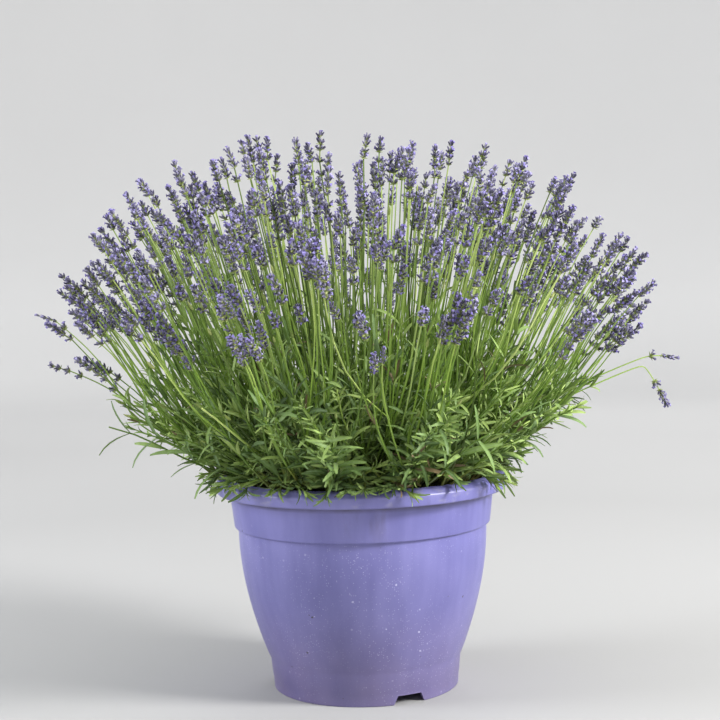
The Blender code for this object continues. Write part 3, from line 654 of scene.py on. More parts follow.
def gather(shape, mesh, place=None, tint=MIDDLE_TINT, finish=None):
    """Adds a copy of a drawn mesh to a gathering, at a place, in its own shade and finish."""
    copy = mesh.copy()
    if place:
        copy.transform(place)
    shades = np.empty(len(copy.vertices), np.float32)
    copy.attributes["tint"].data.foreach_get("value", shades)
    copy.attributes["tint"].data.foreach_set("value", shades + np.float32(tint - MIDDLE_TINT))
    if finish is not None:
        copy.polygons.foreach_set("material_index", np.full(len(copy.polygons), finish, np.int32))
    shape.from_mesh(copy)
    bpy.data.meshes.remove(copy)


def to_mesh(shape, name):
    mesh = bpy.data.meshes.new(name)
    shape.to_mesh(mesh)
    shape.free()
    return mesh


def mesh_points(mesh):
    """The points of a mesh as rows of an array."""
    points = np.empty(len(mesh.vertices) * 3, np.float32)
    mesh.vertices.foreach_get("co", points)
    return points.reshape(-1, 3)


# Patterns that are repeated over the bush

def star(ridges, groove):
    """An outline of (x, y, ridge) points with grooves between its ridges."""
    outline = []
    for i in range(2 * ridges):
        angle = math.pi * i / ridges
        radius = groove if i % 2 else 1.0
        outline.append((radius * math.cos(angle), radius * math.sin(angle), (i + 1) % 2))
    return outline


STEM_OUTLINE, PETAL_OUTLINE = star(4, 0.80), star(3, 0.55)
CALYX_OUTLINE = [(math.cos(2 * math.pi * i / 5), math.sin(2 * math.pi * i / 5), 1) for i in range(5)]
LEAF_OUTLINE = [(-1, 0.16, 0), (0, -0.10, 1), (1, 0.16, 0), (0, -0.34, 0.5)]
BRACT_OUTLINE = [(-1, 0, 0), (0, 0.5, 1), (1, 0, 0)]
CHIP_OUTLINE = [(-1, -0.3, 0), (1, -0.3, 0), (0.8, 0.3, 0), (-0.9, 0.25, 0)]
CHIP_LEVELS = ((0, 0.3), (0.3, 0.9), (0.7, 1), (1, 0.25))


def leaf_width(share):
    """The width of a leaf at a share of its length, as a share of its full width."""
    return math.sin(math.pi * (0.08 + 0.84 * share ** 0.85)) ** 0.6


class LeafPattern:
    """A narrow leaf with a sunk midrib, bent back and twisted, up the Z axis with its upper face to +Y."""

    def __init__(self, bend, twist):
        frames = []
        point = Vector()
        self.points = []
        for i in range(LEAF_STEPS + 1):
            share = i / LEAF_STEPS
            bent = Matrix.Rotation(bend * share ** BEND_POWER, 4, "X")
            turn = bent @ Matrix.Rotation(twist * share, 4, "Z")
            frames.append(placed(point, turn, LEAF_HALF_WIDTH * leaf_width(share)))
            self.points.append(point.copy())
            point += turn.to_3x3() @ Vector((0, 0, LEAF_PATTERN_LENGTH / LEAF_STEPS))
        self.mesh = drawn(LEAF_OUTLINE, frames)


def leaf_patterns(rng):
    """Leaves from almost straight to strongly bent."""
    patterns = []
    for i in range(LEAF_PATTERNS):
        bend = LEAST_BEND + MORE_BEND * i / LEAF_PATTERNS + rng.uniform(-BEND_SHUFFLE, BEND_SHUFFLE)
        patterns.append(LeafPattern(bend, rng.uniform(-LEAF_TWIST, LEAF_TWIST)))
    return patterns


def rotation(degrees, axis):
    return Matrix.Rotation(math.radians(degrees), 4, axis)


def add_whorl(rng, shape, parts, z, lean, count):
    """A ring of calyces on short stalks, some with their corolla open."""
    first = rng.uniform(0, 360)
    stalk = Matrix.Translation((0, 0, CALYX_STALK))
    for i in range(count):
        angle = first + 360 * i / count + rng.uniform(-CALYX_TURN_SHUFFLE, CALYX_TURN_SHUFFLE)
        tilt = lean + rng.uniform(-CALYX_LEAN_SHUFFLE, CALYX_LEAN_SHUFFLE)
        turn = rotation(angle, "Z") @ rotation(tilt, "Y")
        lifted = Matrix.Translation((0, 0, z + rng.uniform(-CALYX_RISE_SHUFFLE, CALYX_RISE_SHUFFLE)))
        place = lifted @ turn @ stalk @ Matrix.Scale(rng.uniform(*CALYX_SIZES), 4)
        gather(shape, parts[CALYX], place, rng.random(), CALYX)
        if rng.random() < OPEN_SHARE:
            gather(shape, parts[PETAL], place, rng.random(), PETAL)


def add_bracts(rng, shape, parts, z):
    """A ring of small leaves under a whorl."""
    first = rng.uniform(0, 360)
    for i in range(BRACTS):
        turn = rotation(first + 360 / BRACTS * i, "Z") @ rotation(rng.uniform(*BRACT_LEANS), "Y")
        place = Matrix.Translation((0, 0, z - BRACT_DROP)) @ turn @ rotation(90, "Z")
        gather(shape, parts[GREEN], place, rng.random(), GREEN)


def fitted(mesh, length):
    """A head's mesh scaled to end at its length and inside the head's radius."""
    points = mesh_points(mesh)
    tall = length / points[:, 2].max()
    narrow = min(1.0, BLOOM_R / np.hypot(points[:, 0], points[:, 1]).max())
    mesh.transform(Matrix.Diagonal((narrow, narrow, tall, 1)))
    return mesh


def head_pattern(rng, parts, length, parted):
    """A blunt spike of whorls up the Z axis, with its lowest whorls apart where wanted."""
    shape = gathering()
    heights = []
    gap = 0
    for _ in range(parted):
        heights.append(gap)
        gap += rng.uniform(*WHORL_GAPS)
    top = length - CALYX_LENGTH
    rows = max(1, round((top - gap) / WHORL_PITCH)) + 1
    heights += [gap + (top - gap) * row / (rows - 1) for row in range(rows)]
    for row, z in enumerate(heights[:-1]):
        lean = FOOT_LEAN - LEAN_LOSS * (row / (len(heights) - 1)) ** 2
        inner_z, inner_lean = z + INNER_RING_RISE, lean - INNER_RING_LEAN_LOSS
        add_whorl(rng, shape, parts, z, lean, rng.choice(WHORL_COUNTS))
        add_whorl(rng, shape, parts, inner_z, inner_lean, rng.choice(INNER_RING_COUNTS))
        add_bracts(rng, shape, parts, z)
    for rise, lean, count in TIP_RINGS:
        add_whorl(rng, shape, parts, heights[-1] + rise, lean, count)
    points = [Vector((0, 0, z)) for z in (-HEAD_AXIS_START, 0.5 * length, length - HEAD_AXIS_END)]
    gather(shape, drawn(CALYX_OUTLINE, path_frames(points, HEAD_AXIS_RADII)), finish=GREEN)
    return fitted(to_mesh(shape, "head"), length)


def whorl_pattern(rng, parts):
    shape = gathering()
    add_whorl(rng, shape, parts, 0, LONE_LEAN, rng.choice(LONE_COUNTS))
    add_bracts(rng, shape, parts, 0)
    return to_mesh(shape, "whorl")


class Patterns:
    """The meshes that are repeated: leaves, flower heads by length, single whorls and buds."""

    def __init__(self, rng):
        outlines = CALYX_OUTLINE, PETAL_OUTLINE, BRACT_OUTLINE
        levels = CALYX_LEVELS, PETAL_LEVELS, BRACT_LEVELS
        parts = [drawn_up(*drawing, CALYX_LENGTH, CALYX_R) for drawing in zip(outlines, levels)]
        self.leaves = leaf_patterns(rng)
        self.heads = {}
        for length, apart in HEAD_PATTERNS.items():
            self.heads[length] = [head_pattern(rng, parts, length, parted) for parted in apart]
        self.whorls = [whorl_pattern(rng, parts) for _ in range(LONE_WHORLS)]
        self.bud = drawn_up(CALYX_OUTLINE, BUD_LEVELS)


# Growth of one spray

def stalk_path(start, end, share=1.0, steps=STEM_STEPS, last=None):
    """The smooth path of a stem up to a share of its height, led to a last point."""
    points = [stem_point(start, end, share * i / steps) for i in range(steps + 1)]
    if last:
        off = last - points[-1]
        points = [point + off * i / steps for i, point in enumerate(points)]
    return points


def rounded_path(points, steps=4):
    """A smooth path through points."""
    path = []
    for i in range(len(points) - 1):
        a, b = points[max(i - 1, 0)], points[i]
        c, d = points[i + 1], points[min(i + 2, len(points) - 1)]
        for k in range(steps):
            t = k / steps
            path.append(0.5 * (2 * b + (c - a) * t + (2 * a - 5 * b + 4 * c - d) * t ** 2
                               + (3 * b - a - 3 * c + d) * t ** 3))
    return path + [points[-1]]


def swayed(rng, path, amount):
    """A path with a slight sway that leaves its ends."""
    way = Vector((rng.uniform(-1, 1), rng.uniform(-1, 1), 0)) * amount
    turns = rng.uniform(1, 2)
    last = len(path) - 1
    return [point + way * math.sin(math.pi * turns * i / last) * math.sin(math.pi * i / last)
            for i, point in enumerate(path)]


class Spray:
    """The growth of one cell, gathered as stems, leaves and flowers."""

    def __init__(self, rng, cell, patterns):
        self.rng = rng
        self.cell = cell
        self.patterns = patterns
        self.stems = gathering()
        self.leaves = gathering()
        self.flowers = gathering()

    def add_stalk(self, path, first, last, tint, wood=WOOD_R):
        """A ribbed stem that is thicker and woody at its foot."""
        length = 0
        widths, marks = [], []
        for i, point in enumerate(path):
            length += (point - path[i - 1]).length if i else 0
            share = i / (len(path) - 1)
            widths.append(first + (last - first) * share + wood * math.exp(-length / WOOD_LENGTH))
            marks.append(length / MARK_LENGTH)
        gather(self.stems, drawn(STEM_OUTLINE, path_frames(path, widths), marks), tint=tint)

    def add_leaf(self, root, along, side, rise, length, tint, bends=(0, 1)):
        """A leaf out of a stalk, left out where it would cut into the pot or the soil or leave the box."""
        way = math.cos(rise) * along + math.sin(rise) * side
        face = math.sin(rise) * along - math.cos(rise) * side
        turn = Matrix((face.cross(way), face, way)).transposed()
        size = length / LEAF_PATTERN_LENGTH
        broad = self.rng.uniform(*LEAF_BREADTHS) * size ** LEAF_BROADENING
        place = placed(root, turn, broad, size)
        kinds = self.patterns.leaves
        pattern = kinds[min(len(kinds) - 1, int(self.rng.uniform(*bends) * len(kinds)))]
        for point in pattern.points[LEAF_ROOT_POINTS:]:
            point = place @ point
            if not clear_of_pot(point, LEAF_FREE) or not in_box(point, LEAF_BOX_ROOM):
                return
        gather(self.leaves, pattern.mesh, place, tint)

    def add_pair(self, path, at_length, turn, rise, length, tint, bends=(0, 1)):
        """Two opposite leaves at a length along a path."""
        root, along = point_along(path, at_length)
        side = square_to(along, Vector((math.cos(turn), math.sin(turn), PAIR_SIDE_RISE)))
        for way in (1, -1):
            own_rise = rise + self.rng.uniform(-PAIR_RISE_SHUFFLE, PAIR_RISE_SHUFFLE)
            own_length = length * self.rng.uniform(*PAIR_LENGTHS)
            if self.rng.random() < DRY_SHARE:
                tint = DRY_TINT
            own_tint = tint + self.rng.uniform(-LEAF_TINT_SHUFFLE, LEAF_TINT_SHUFFLE)
            self.add_leaf(root, along, way * side, own_rise, own_length, own_tint, bends)

    def add_shoot(self, path, leaf_length, bare=BARE, radius=SHOOT_R, bends=(0, 1), young=YOUNG_LENGTH):
        """A leafy shoot: crossed pairs up a stalk, with a tuft of young leaves at its tip."""
        rng = self.rng
        tint = rng.random()
        self.add_stalk(path, radius, SHOOT_END_R, tint, SHOOT_WOOD)
        total = path_length(path)
        reached = bare * total
        turn = rng.uniform(0, math.pi)
        while reached < total:
            share = reached / total
            rise = math.radians(rng.uniform(*SHOOT_RISES) - SHOOT_RISE_LOSS * share)
            shorter = 1 - SHOOT_LEAF_LOSS * share ** 3
            length = leaf_length * rng.uniform(*SHOOT_LEAF_LENGTHS) * shorter
            shade = SHOOT_TINT * tint + SHOOT_TINT_GAIN * share
            shade += rng.uniform(-SHOOT_TINT_SHUFFLE, SHOOT_TINT_SHUFFLE)
            self.add_pair(path, reached, turn, rise, length, shade, bends)
            turn += math.pi / 2 + rng.uniform(-PAIR_TURN_SHUFFLE, PAIR_TURN_SHUFFLE)
            most, loss = PAIR_SPACING_LOSS
            reached += rng.uniform(*PAIR_SPACING) * (most - loss * share)
        for number in range(TIP_PAIRS):
            rise = math.radians(TIP_RISE - TIP_RISE_LOSS * number)
            length = leaf_length * (young - TIP_LENGTH_LOSS * number)
            shade = TIP_TINTS[0] * tint + TIP_TINTS[1] + TIP_TINT_GAIN * number
            self.add_pair(path, total, turn, rise, length, shade, (0, TIP_BEND + young - YOUNG_LENGTH))
            turn += math.pi / 2

    def add_head(self, head, tint):
        """A flower head as long as its solid, on its stem."""
        rng = self.rng
        nearest = min(HEAD_PATTERNS, key=lambda length: abs(length - head.length))
        stretch = Matrix.Diagonal((1, 1, head.length / nearest, 1))
        spin = Matrix.Rotation(rng.uniform(0, 2 * math.pi), 4, "Z")
        pattern = rng.choice(self.patterns.heads[nearest])
        stood = Matrix.Translation(head.base) @ turn_along(head.axis).to_4x4() @ spin @ stretch
        for narrow, short in HEAD_NARROWINGS:
            place = stood @ Matrix.Diagonal((narrow, narrow, short, 1))
            if inside_box(pattern, place):
                break
        gather(self.flowers, pattern, place, tint)

    def add_low_whorl(self, path, tint):
        """A whorl that stands apart under the head."""
        point, along = point_along(path, path_length(path) - self.rng.uniform(*LOW_WHORL_DROPS))
        whorl = self.rng.choice(self.patterns.whorls)
        place = placed(point, turn_along(along), LONE_SIZE, LONE_SIZE)
        if inside_box(whorl, place):
            gather(self.flowers, whorl, place, tint)

    def add_flower(self, head, strayed=False):
        """A stem with its head, and often a whorl under the head and a pair of leaves low down."""
        rng = self.rng
        if strayed:
            path = rounded_path(head.stem[:-1] + [head.base])
            for _ in range(BEND_ROUNDS):
                path[1:-1] = [0.25 * a + 0.5 * b + 0.25 * c for a, b, c in zip(path, path[1:], path[2:])]
        else:
            share = 1 - head.length / (head.tip - head.stem[0]).length
            path = stalk_path(head.stem[0], head.tip, share, last=head.base)
            path = swayed(rng, path, STEM_SWAY)
        outward = min(1.0, head.tip.xy.length / (LAST_SLOPE * spread(head.tip.z)))
        darkest, lightest = STEM_TINTS
        # The tint is painted shade deep in the bush and painted light at its edge, with a random tone
        # between
        tint = rng.uniform(darkest * outward ** 2, lightest + STEM_PALER * outward ** 2)
        foot_r, head_r = STEM_FOOT_R - STEM_FOOT_LOSS * outward, STEM_HEAD_R - STEM_HEAD_LOSS * outward
        self.add_stalk(path, foot_r, head_r, tint)
        shade = MIDDLE_TINT + rng.uniform(-HEAD_TINT_SHUFFLE, HEAD_TINT_SHUFFLE)
        self.add_head(head, shade)
        if strayed or rng.random() < LOW_WHORL_SHARE:
            self.add_low_whorl(path, shade)
        total = path_length(path)
        turn = rng.uniform(0, math.pi)
        for _ in range(rng.choice(STEM_PAIRS)):
            at_length = total * rng.uniform(*STEM_PAIR_SHARES)
            rise = math.radians(rng.uniform(*STEM_PAIR_RISES))
            length, shade = rng.uniform(*STEM_LEAF_LENGTHS), rng.uniform(*STEM_LEAF_TINTS)
            self.add_pair(path, at_length, turn, rise, length, shade, STEM_LEAF_BENDS)
            turn += math.pi / 2

    def add_bud_stem(self):
        """A young stem with a bud at its tip and a pair of leaves."""
        rng = self.rng
        path = bud_stem(rng, self.cell)
        self.add_stalk(path, BUD_STEM_R, BUD_STEM_END_R, rng.random())
        total = path_length(path)
        point, along = point_along(path, total)
        size = rng.uniform(*BUD_SIZES)
        place = placed(point, turn_along(along), size, size)
        gather(self.flowers, self.patterns.bud, place, rng.random(), GREEN)
        at_length, turn = total * rng.uniform(*BUD_PAIR_SHARES), rng.uniform(0, 3)
        self.add_pair(path, at_length, turn, BUD_PAIR_RISE, BUD_PAIR_LENGTH, rng.random())

    def add_solid_shoot(self, shoot):
        """A shoot with the leaves of its solid, and where it stands in the mound with more between them."""
        path = stalk_path(*shoot.path, steps=SHOOT_STEPS)
        self.add_stalk(path, SOLID_SHOOT_R, SOLID_SHOOT_END_R, SOLID_SHOOT_TINT, SOLID_SHOOT_WOOD)
        for root, along, leaves in shoot.nodes:
            for leaf in leaves:
                if leaf:
                    way = leaf.tip - leaf.root
                    side, rise, length = square_to(along, way), way.angle(along), LEAF_SHORTER * way.length
                    tint = self.rng.uniform(*SOLID_LEAF_TINTS)
                    self.add_leaf(root, along, side, rise, length, tint, SOLID_LEAF_BENDS)
        if shoot.path[1].xy.length < FULL_MOUND_SLOPE * spread(shoot.path[1].z):
            self.add_shoot(path, SOLID_SHOOT_LEAVES)


def path_length(path):
    return sum((b - a).length for a, b in zip(path, path[1:]))


def point_along(path, wanted):
    """The point at a length along a path, and the path's direction there."""
    for a, b in zip(path, path[1:]):
        step = (b - a).length
        if wanted <= step:
            return a.lerp(b, wanted / step), (b - a).normalized()
        wanted -= step
    return path[-1].copy(), (path[-1] - path[-2]).normalized()


def in_box(point, room):
    """Whether a point is inside the box of the solids, with room round it."""
    low, high = CAD_BOX
    return all(low[i] + room < point[i] < high[i] - room for i in range(3))


def inside_box(mesh, place):
    """Whether a mesh is inside the box of the solids once it is placed."""
    turn = np.array(place)
    points = mesh_points(mesh) @ turn[:3, :3].T + turn[:3, 3]
    low, high = (np.array(corner) for corner in CAD_BOX)
    return bool((points > low).all() and (points < high).all())


def rooted_in(rng, cell):
    """The cell from whose stub a further stem grows: mostly its own, now and then one close by."""
    pick = rng.random()
    if pick > BORROWED_SHARE:
        return cell
    reach = CROSSING_REACH if pick < CROSSING_SHARE else BORROWED_REACH
    own = stub_point(cell, SOIL_Z)
    near = [other for other in spray_cells() if (stub_point(other, SOIL_Z) - own).length < reach]
    return rng.choice(near)


def loose_start(rng, cell, end):
    """Where a further stem leaves the soil: near the stub, on the side that it grows towards."""
    start = start_towards(rooted_in(rng, cell), end)
    return start + around(rng.uniform(0, 360), LOOSE_START * math.sqrt(rng.random()), -START_DEPTH)


def further_head(rng, cell, tip):
    start = loose_start(rng, cell, tip)
    length = rng.uniform(*MORE_HEAD_LENGTHS)
    share = 1 - length / (tip - start).length
    leaning = tip + around(rng.uniform(0, 360), HEAD_LEAN * length * rng.random(), 0)
    return Head([stem_point(start, tip, share * part) for part in STEM_SHARES], leaning)


def more_heads(rng, cell, heads):
    """Further flower heads in a cell, each at the emptiest of a few places."""
    made = []
    middles = [head.middle() for head in heads]
    for _ in range(MORE_HEADS[cell.kind]):
        best, most = None, MORE_HEAD_SPACING
        for _ in range(MORE_HEAD_SPOTS):
            azimuth, slope = random_slope(rng, cell, LAST_SLOPE)
            depth = (FLOWER_DEPTH - DEPTH_FALL * slope + MORE_HEAD_DEPTH) * rng.random()
            if rng.random() < LOW_HEAD_SHARE:
                depth = LOW_HEAD_DEPTH * rng.uniform(*LOW_HEAD_DEPTHS)
            tip = at(azimuth, slope, dome_z(slope) - depth)
            off_front = abs((azimuth + 90) % 180 - 90)
            rare = off_front < FRONT_HALF_WIDTH and tip.z < FRONT_LOW_Z
            if not in_box(tip, HEAD_R) or tip.z < LEAST_HEAD_Z or tip.x > RIGHT_REACH:
                continue
            if rare and rng.random() > FRONT_LOW_SHARE:
                continue
            head = further_head(rng, cell, tip)
            apart = min((other - head.middle()).length for other in middles)
            if apart > most:
                best, most = head, apart
        if best:
            made.append(best)
            middles.append(best.middle())
    return made


def bud_stem(rng, cell):
    """The path of a young stem that hasn't flowered yet."""
    while True:
        azimuth, slope = random_slope(rng, cell, LAST_SLOPE)
        end = at(azimuth, slope, dome_z(slope) - rng.uniform(*BUD_DEPTHS))
        if in_box(end, BUD_ROOM):
            return swayed(rng, stalk_path(loose_start(rng, cell, end), end), BUD_SWAY)


def mound_shoot(rng, cell):
    """The path of a leafy shoot inside the mound."""
    for _ in range(SHOOT_TRIES):
        azimuth, slope = random_slope(rng, cell, FULL_MOUND_SLOPE)
        top = FULL_MOUND_Z - FULL_MOUND_FALL * slope ** 2
        end = at(azimuth, slope, top - FULL_MOUND_DEPTH * rng.random() ** FULL_MOUND_POWER)
        path = stalk_path(loose_start(rng, cell, end), end, steps=SHOOT_STEPS)
        if all(clear_of_pot(point, MOUND_POT_ROOM) and in_box(point, MOUND_ROOM) for point in path[1:]):
            return swayed(rng, path, MOUND_SWAY)
    return None


def short_start(rng, azimuth, radii):
    """Where a short shoot near the lip leaves the soil."""
    turn = rng.uniform(-SHORT_START_TURN, SHORT_START_TURN)
    return around(azimuth + turn, rng.uniform(*radii), SOIL_Z - SHORT_START_DEPTH)


def rim_shoot(rng, cell):
    """The path of a short shoot that leans over the lip of the pot."""
    azimuth = cell.random_azimuth(rng)
    start = short_start(rng, azimuth, RIM_STARTS)
    over = around(azimuth, rng.uniform(*RIM_OVER), POT_HEIGHT + rng.uniform(*RIM_OVER_RISES))
    turn = rng.uniform(-RIM_END_TURN, RIM_END_TURN)
    end = around(azimuth + turn, rng.uniform(*RIM_ENDS), POT_HEIGHT + rng.uniform(*RIM_END_RISES))
    return rounded_path([start, over, end])


def hanging_shoot(rng, cell):
    """The path of a sprig that lies on the lip of the pot, with its leaves over the edge."""
    azimuth = cell.random_azimuth(rng)
    start = short_start(rng, azimuth, HANGING_STARTS)
    over_r = CREST_R - rng.uniform(*HANGING_OVER)
    over = around(azimuth, over_r, POT_HEIGHT + rng.uniform(*HANGING_OVER_RISES))
    past = rng.random()
    end_r = LIP_R - HANGING_INSIDE + HANGING_SPAN * past
    end_z = POT_HEIGHT + rng.uniform(*HANGING_END_RISES) - HANGING_FALL * past ** 2
    end = around(azimuth + rng.uniform(-HANGING_TURN, HANGING_TURN), end_r, end_z)
    return rounded_path([start, over, end])


def grown_spray(rng, cell, tufts, shoots, all_heads, patterns):
    """The whole growth of a cell: what its solids have, and more of each kind."""
    spray = Spray(rng, cell, patterns)
    strays = len(STRAYS.get(cell.name, ()))
    for number, tuft in enumerate(tufts):
        for head in tuft:
            spray.add_flower(head, number < strays)
    for head in more_heads(rng, cell, all_heads):
        spray.add_flower(head)
        all_heads.append(head)
    for _ in range(BUD_STEMS[cell.kind]):
        spray.add_bud_stem()
    for shoot in shoots:
        spray.add_solid_shoot(shoot)
    for _ in range(MORE_SHOOTS[cell.kind]):
        path = mound_shoot(rng, cell)
        if path:
            spray.add_shoot(path, rng.uniform(*MORE_SHOOT_LEAVES), rng.uniform(*MORE_SHOOT_BARE))
    for _ in range(RIM_SHOOTS.get(cell.kind, 0)):
        path = rim_shoot(rng, cell)
        spray.add_shoot(path, rng.uniform(*RIM_LEAVES), RIM_BARE, THIN_SHOOT_R, RIM_BENDS, RIM_YOUNG)
    for _ in range(HANGING_SHOOTS.get(cell.kind, 0)):
        path = hanging_shoot(rng, cell)
        length = rng.uniform(*HANGING_LEAVES)
        spray.add_shoot(path, length, HANGING_BARE, THIN_SHOOT_R, HANGING_BENDS, HANGING_YOUNG)
    return spray


def add_stub(spray):
    """The woody foot of a spray, with gnarled bark."""
    bottom = stub_point(spray.cell, SOIL_Z - HOLE_DEPTH)
    top = stub_point(spray.cell, SOIL_Z + STUB_RISE)
    points = [bottom.lerp(top, i / STUB_STEPS) for i in range(STUB_STEPS + 1)]
    widths = [STUB_R + (STUB_TOP_R - STUB_R) * i / STUB_STEPS for i in range(STUB_STEPS)]
    widths.append(STUB_END * STUB_TOP_R)
    outline = []
    for i in range(STUB_CORNERS):
        angle = 2 * math.pi * i / STUB_CORNERS
        radius = 1 - STUB_DENT * (i % 3)
        outline.append((math.cos(angle) * radius, math.sin(angle) * radius, 0))
    gather(spray.stems, drawn(outline, path_frames(points, widths), [0.0] * len(points)), finish=BARK)


# Finishes

def plug(tree, socket, value):
    """Gives a socket a link, a colour or a number."""
    if isinstance(value, bpy.types.NodeSocket):
        tree.links.new(value, socket)
    elif socket.type == "RGBA":
        socket.default_value = (*value, 1)
    else:
        socket.default_value = value


def add(tree, kind, sockets=None, **settings):
    """A shader node with its settings, whose sockets take values or links."""
    made = tree.nodes.new("ShaderNode" + kind)
    for name, value in settings.items():
        setattr(made, name, value)
    for name, value in (sockets or {}).items():
        plug(tree, made.inputs[name], value)
    return made


def ramp(tree, value, *stops):
    """Colours between stops, each a place and a colour."""
    made = add(tree, "ValToRGB", {"Fac": value})
    points = made.color_ramp.elements
    while len(points) < len(stops):
        points.new(0.5)
    for point, (place, colour) in zip(points, stops):
        point.position = place
        point.color = (*colour, 1) if isinstance(colour, tuple) else (colour, colour, colour, 1)
    return made.outputs["Color"]


def mixed(tree, share, first, second, blend="MIX"):
    """Two colours mixed, through the colour sockets of the node, which has others of the same names."""
    made = add(tree, "Mix", data_type="RGBA", blend_type=blend)
    for index, value in ((0, share), (6, first), (7, second)):
        plug(tree, made.inputs[index], value)
    return made.outputs[2]


def worked(tree, operation, *values):
    made = add(tree, "Math", operation=operation)
    for socket, value in zip(made.inputs, values):
        plug(tree, socket, value)
    return made.outputs[0]


def times(tree, first, second):
    return worked(tree, "MULTIPLY", first, second)


def object_place(tree, scale=(1, 1, 1)):
    """Object coordinates, stretched."""
    place = add(tree, "TexCoord").outputs["Object"]
    return add(tree, "Mapping", {"Vector": place, "Scale": scale}).outputs["Vector"]


def spots(tree, place, scale, detail=2.0, roughness=0.5):
    sockets = {"Vector": place, "Scale": scale, "Detail": detail, "Roughness": roughness}
    return add(tree, "TexNoise", sockets).outputs["Fac"]


def mark(tree, name):
    return add(tree, "Attribute", attribute_name=name).outputs["Fac"]


def finish(name, roughness, specular=0.5, sheen=0.0):
    """A material and its tree, with its uniform values set."""
    made = bpy.data.materials.new(name)
    made.use_nodes = True
    shader = made.node_tree.nodes["Principled BSDF"]
    shader.inputs["Roughness"].default_value = roughness
    shader.inputs["Specular IOR Level"].default_value = specular
    shader.inputs["Sheen Weight"].default_value = sheen
    return made, made.node_tree


def coated(made, colour, height=None, strength=0.3, distance=0.0003, roughness=None):
    """The material with a colour, a bump by height and a roughness led to its shader."""
    tree = made.node_tree
    shader = tree.nodes["Principled BSDF"].inputs
    tree.links.new(colour, shader["Base Color"])
    if height:
        sockets = {"Height": height, "Strength": strength, "Distance": distance}
        tree.links.new(add(tree, "Bump", sockets).outputs["Normal"], shader["Normal"])
    if roughness:
        tree.links.new(roughness, shader["Roughness"])
    return made


def picked_cells(tree, place, cell_size, reach, channel, share):
    """Spots of a reach in the middle of some cells, picked by a channel of the cells' colours."""
    cells = add(tree, "TexVoronoi", {"Vector": place, "Scale": 1 / cell_size})
    near = worked(tree, "LESS_THAN", cells.outputs["Distance"], reach)
    chances = add(tree, "SeparateXYZ", {"Vector": cells.outputs["Color"]})
    return times(tree, near, worked(tree, "GREATER_THAN", chances.outputs[channel], share))


# Each kind of lime speck: its cells' size, the share of them without one, its reach and its strength
SPECKS = ((0.0042, 0.79, 0.06, 0.52), (0.0105, 0.72, 0.025, 0.80), (0.0019, 0.66, 0.17, 0.38))


def pot_finish():
    """Violet moulded plastic, mottled, with lime specks, scuffs on the lip, painted shade in the recesses
    under the collar and the lip, and painted light and shade that darken it towards the foot and lighten it
    towards the lip.
    """
    made, tree = finish("pot_plastic", 0.5, 0.8)
    place = object_place(tree)
    streaks = spots(tree, object_place(tree, (1, 1, 0.12)), 60, 4)
    clouds = spots(tree, place, 9, 3)
    colour = ramp(tree, clouds, (0.35, (0.104, 0.101, 0.312)), (0.65, (0.174, 0.168, 0.422)))
    streaked = ramp(tree, streaks, (0.3, (0.115, 0.108, 0.31)), (0.7, (0.240, 0.235, 0.52)))
    colour = mixed(tree, 0.30, colour, streaked)
    height = add(tree, "SeparateXYZ", {"Vector": place}).outputs["Z"]
    # Painted light and shade: the plastic is darkened towards the foot and lightened towards the collar and
    # the lip
    painted_light_by_height = ramp(tree, height, (0.0, (0.84, 0.80, 0.78)), (0.11, (0.96, 0.95, 0.94)),
                 (0.185, (1.14, 1.14, 1.16)))
    colour = mixed(tree, 1.0, colour, painted_light_by_height, "MULTIPLY")
    dust = times(tree, ramp(tree, height, (0.0, 0.55), (0.10, 0.0)), spots(tree, place, 25, 4))
    colour = mixed(tree, dust, colour, (0.24, 0.17, 0.25))
    speckled = ramp(tree, spots(tree, place, 13, 3), (0.42, 0.15), (0.60, 0.80))
    on_body = ramp(tree, height, (SHOULDER_Z, 1.0), (COLLAR_Z, 0.35), (LIP_Z, 0.15))
    speckled = times(tree, speckled, on_body)
    rough_edge = times(tree, spots(tree, place, 1500, 2), 0.16)
    for cell_size, share, radius, strength in SPECKS:
        reach = worked(tree, "ADD", rough_edge, radius)
        specks = times(tree, picked_cells(tree, place, cell_size, reach, "X", share), speckled)
        colour = mixed(tree, times(tree, specks, strength), colour, (0.62, 0.61, 0.80))
    reach = worked(tree, "ADD", rough_edge, -0.015)
    dark = picked_cells(tree, place, 1 / 60, reach, "Y", 0.58)
    colour = mixed(tree, dark, colour, (0.05, 0.04, 0.06))
    rubbed = spots(tree, object_place(tree, (1, 1, 2.2)), 55, 6, 0.65)
    on_lip = ramp(tree, height, (LIP_Z - 0.004, 0.0), (LIP_Z, 1.0))
    scuffs = times(tree, ramp(tree, rubbed, (0.52, 0.0), (0.66, 0.55)), on_lip)
    colour = mixed(tree, scuffs, colour, (0.31, 0.30, 0.45))
    # Painted shade in the narrow recesses under the collar's step and under the lip, broken up by noise
    for low, high in ((SHOULDER_Z + 0.0018, COLLAR_Z - 0.0016), (COLLAR_TOP_Z + 0.0012, LIP_Z - 0.0022)):
        seam = ramp(tree, height, (low - 0.0006, 0.0), (low, 1.0), (high, 1.0), (high + 0.0004, 0.0))
        recess_shade = times(tree, seam, ramp(tree, spots(tree, place, 40, 4), (0.35, 0.50), (0.7, 1.0)))
        colour = mixed(tree, recess_shade, colour, (0.050, 0.038, 0.075))
    upright = object_place(tree, (1, 1, 0.35))
    smudge = ramp(tree, spots(tree, upright, 26, 5, 0.6), (0.54, 0.0), (0.70, 0.50))
    high_up = ramp(tree, height, (0.150, 0.0), (0.185, 1.0))
    colour = mixed(tree, times(tree, smudge, high_up), colour, (0.095, 0.075, 0.115))
    rough = ramp(tree, spots(tree, place, 30, 5), (0.3, 0.36), (0.7, 0.50))
    return coated(made, colour, spots(tree, place, 900, 3), 0.25, 0.0002, rough)


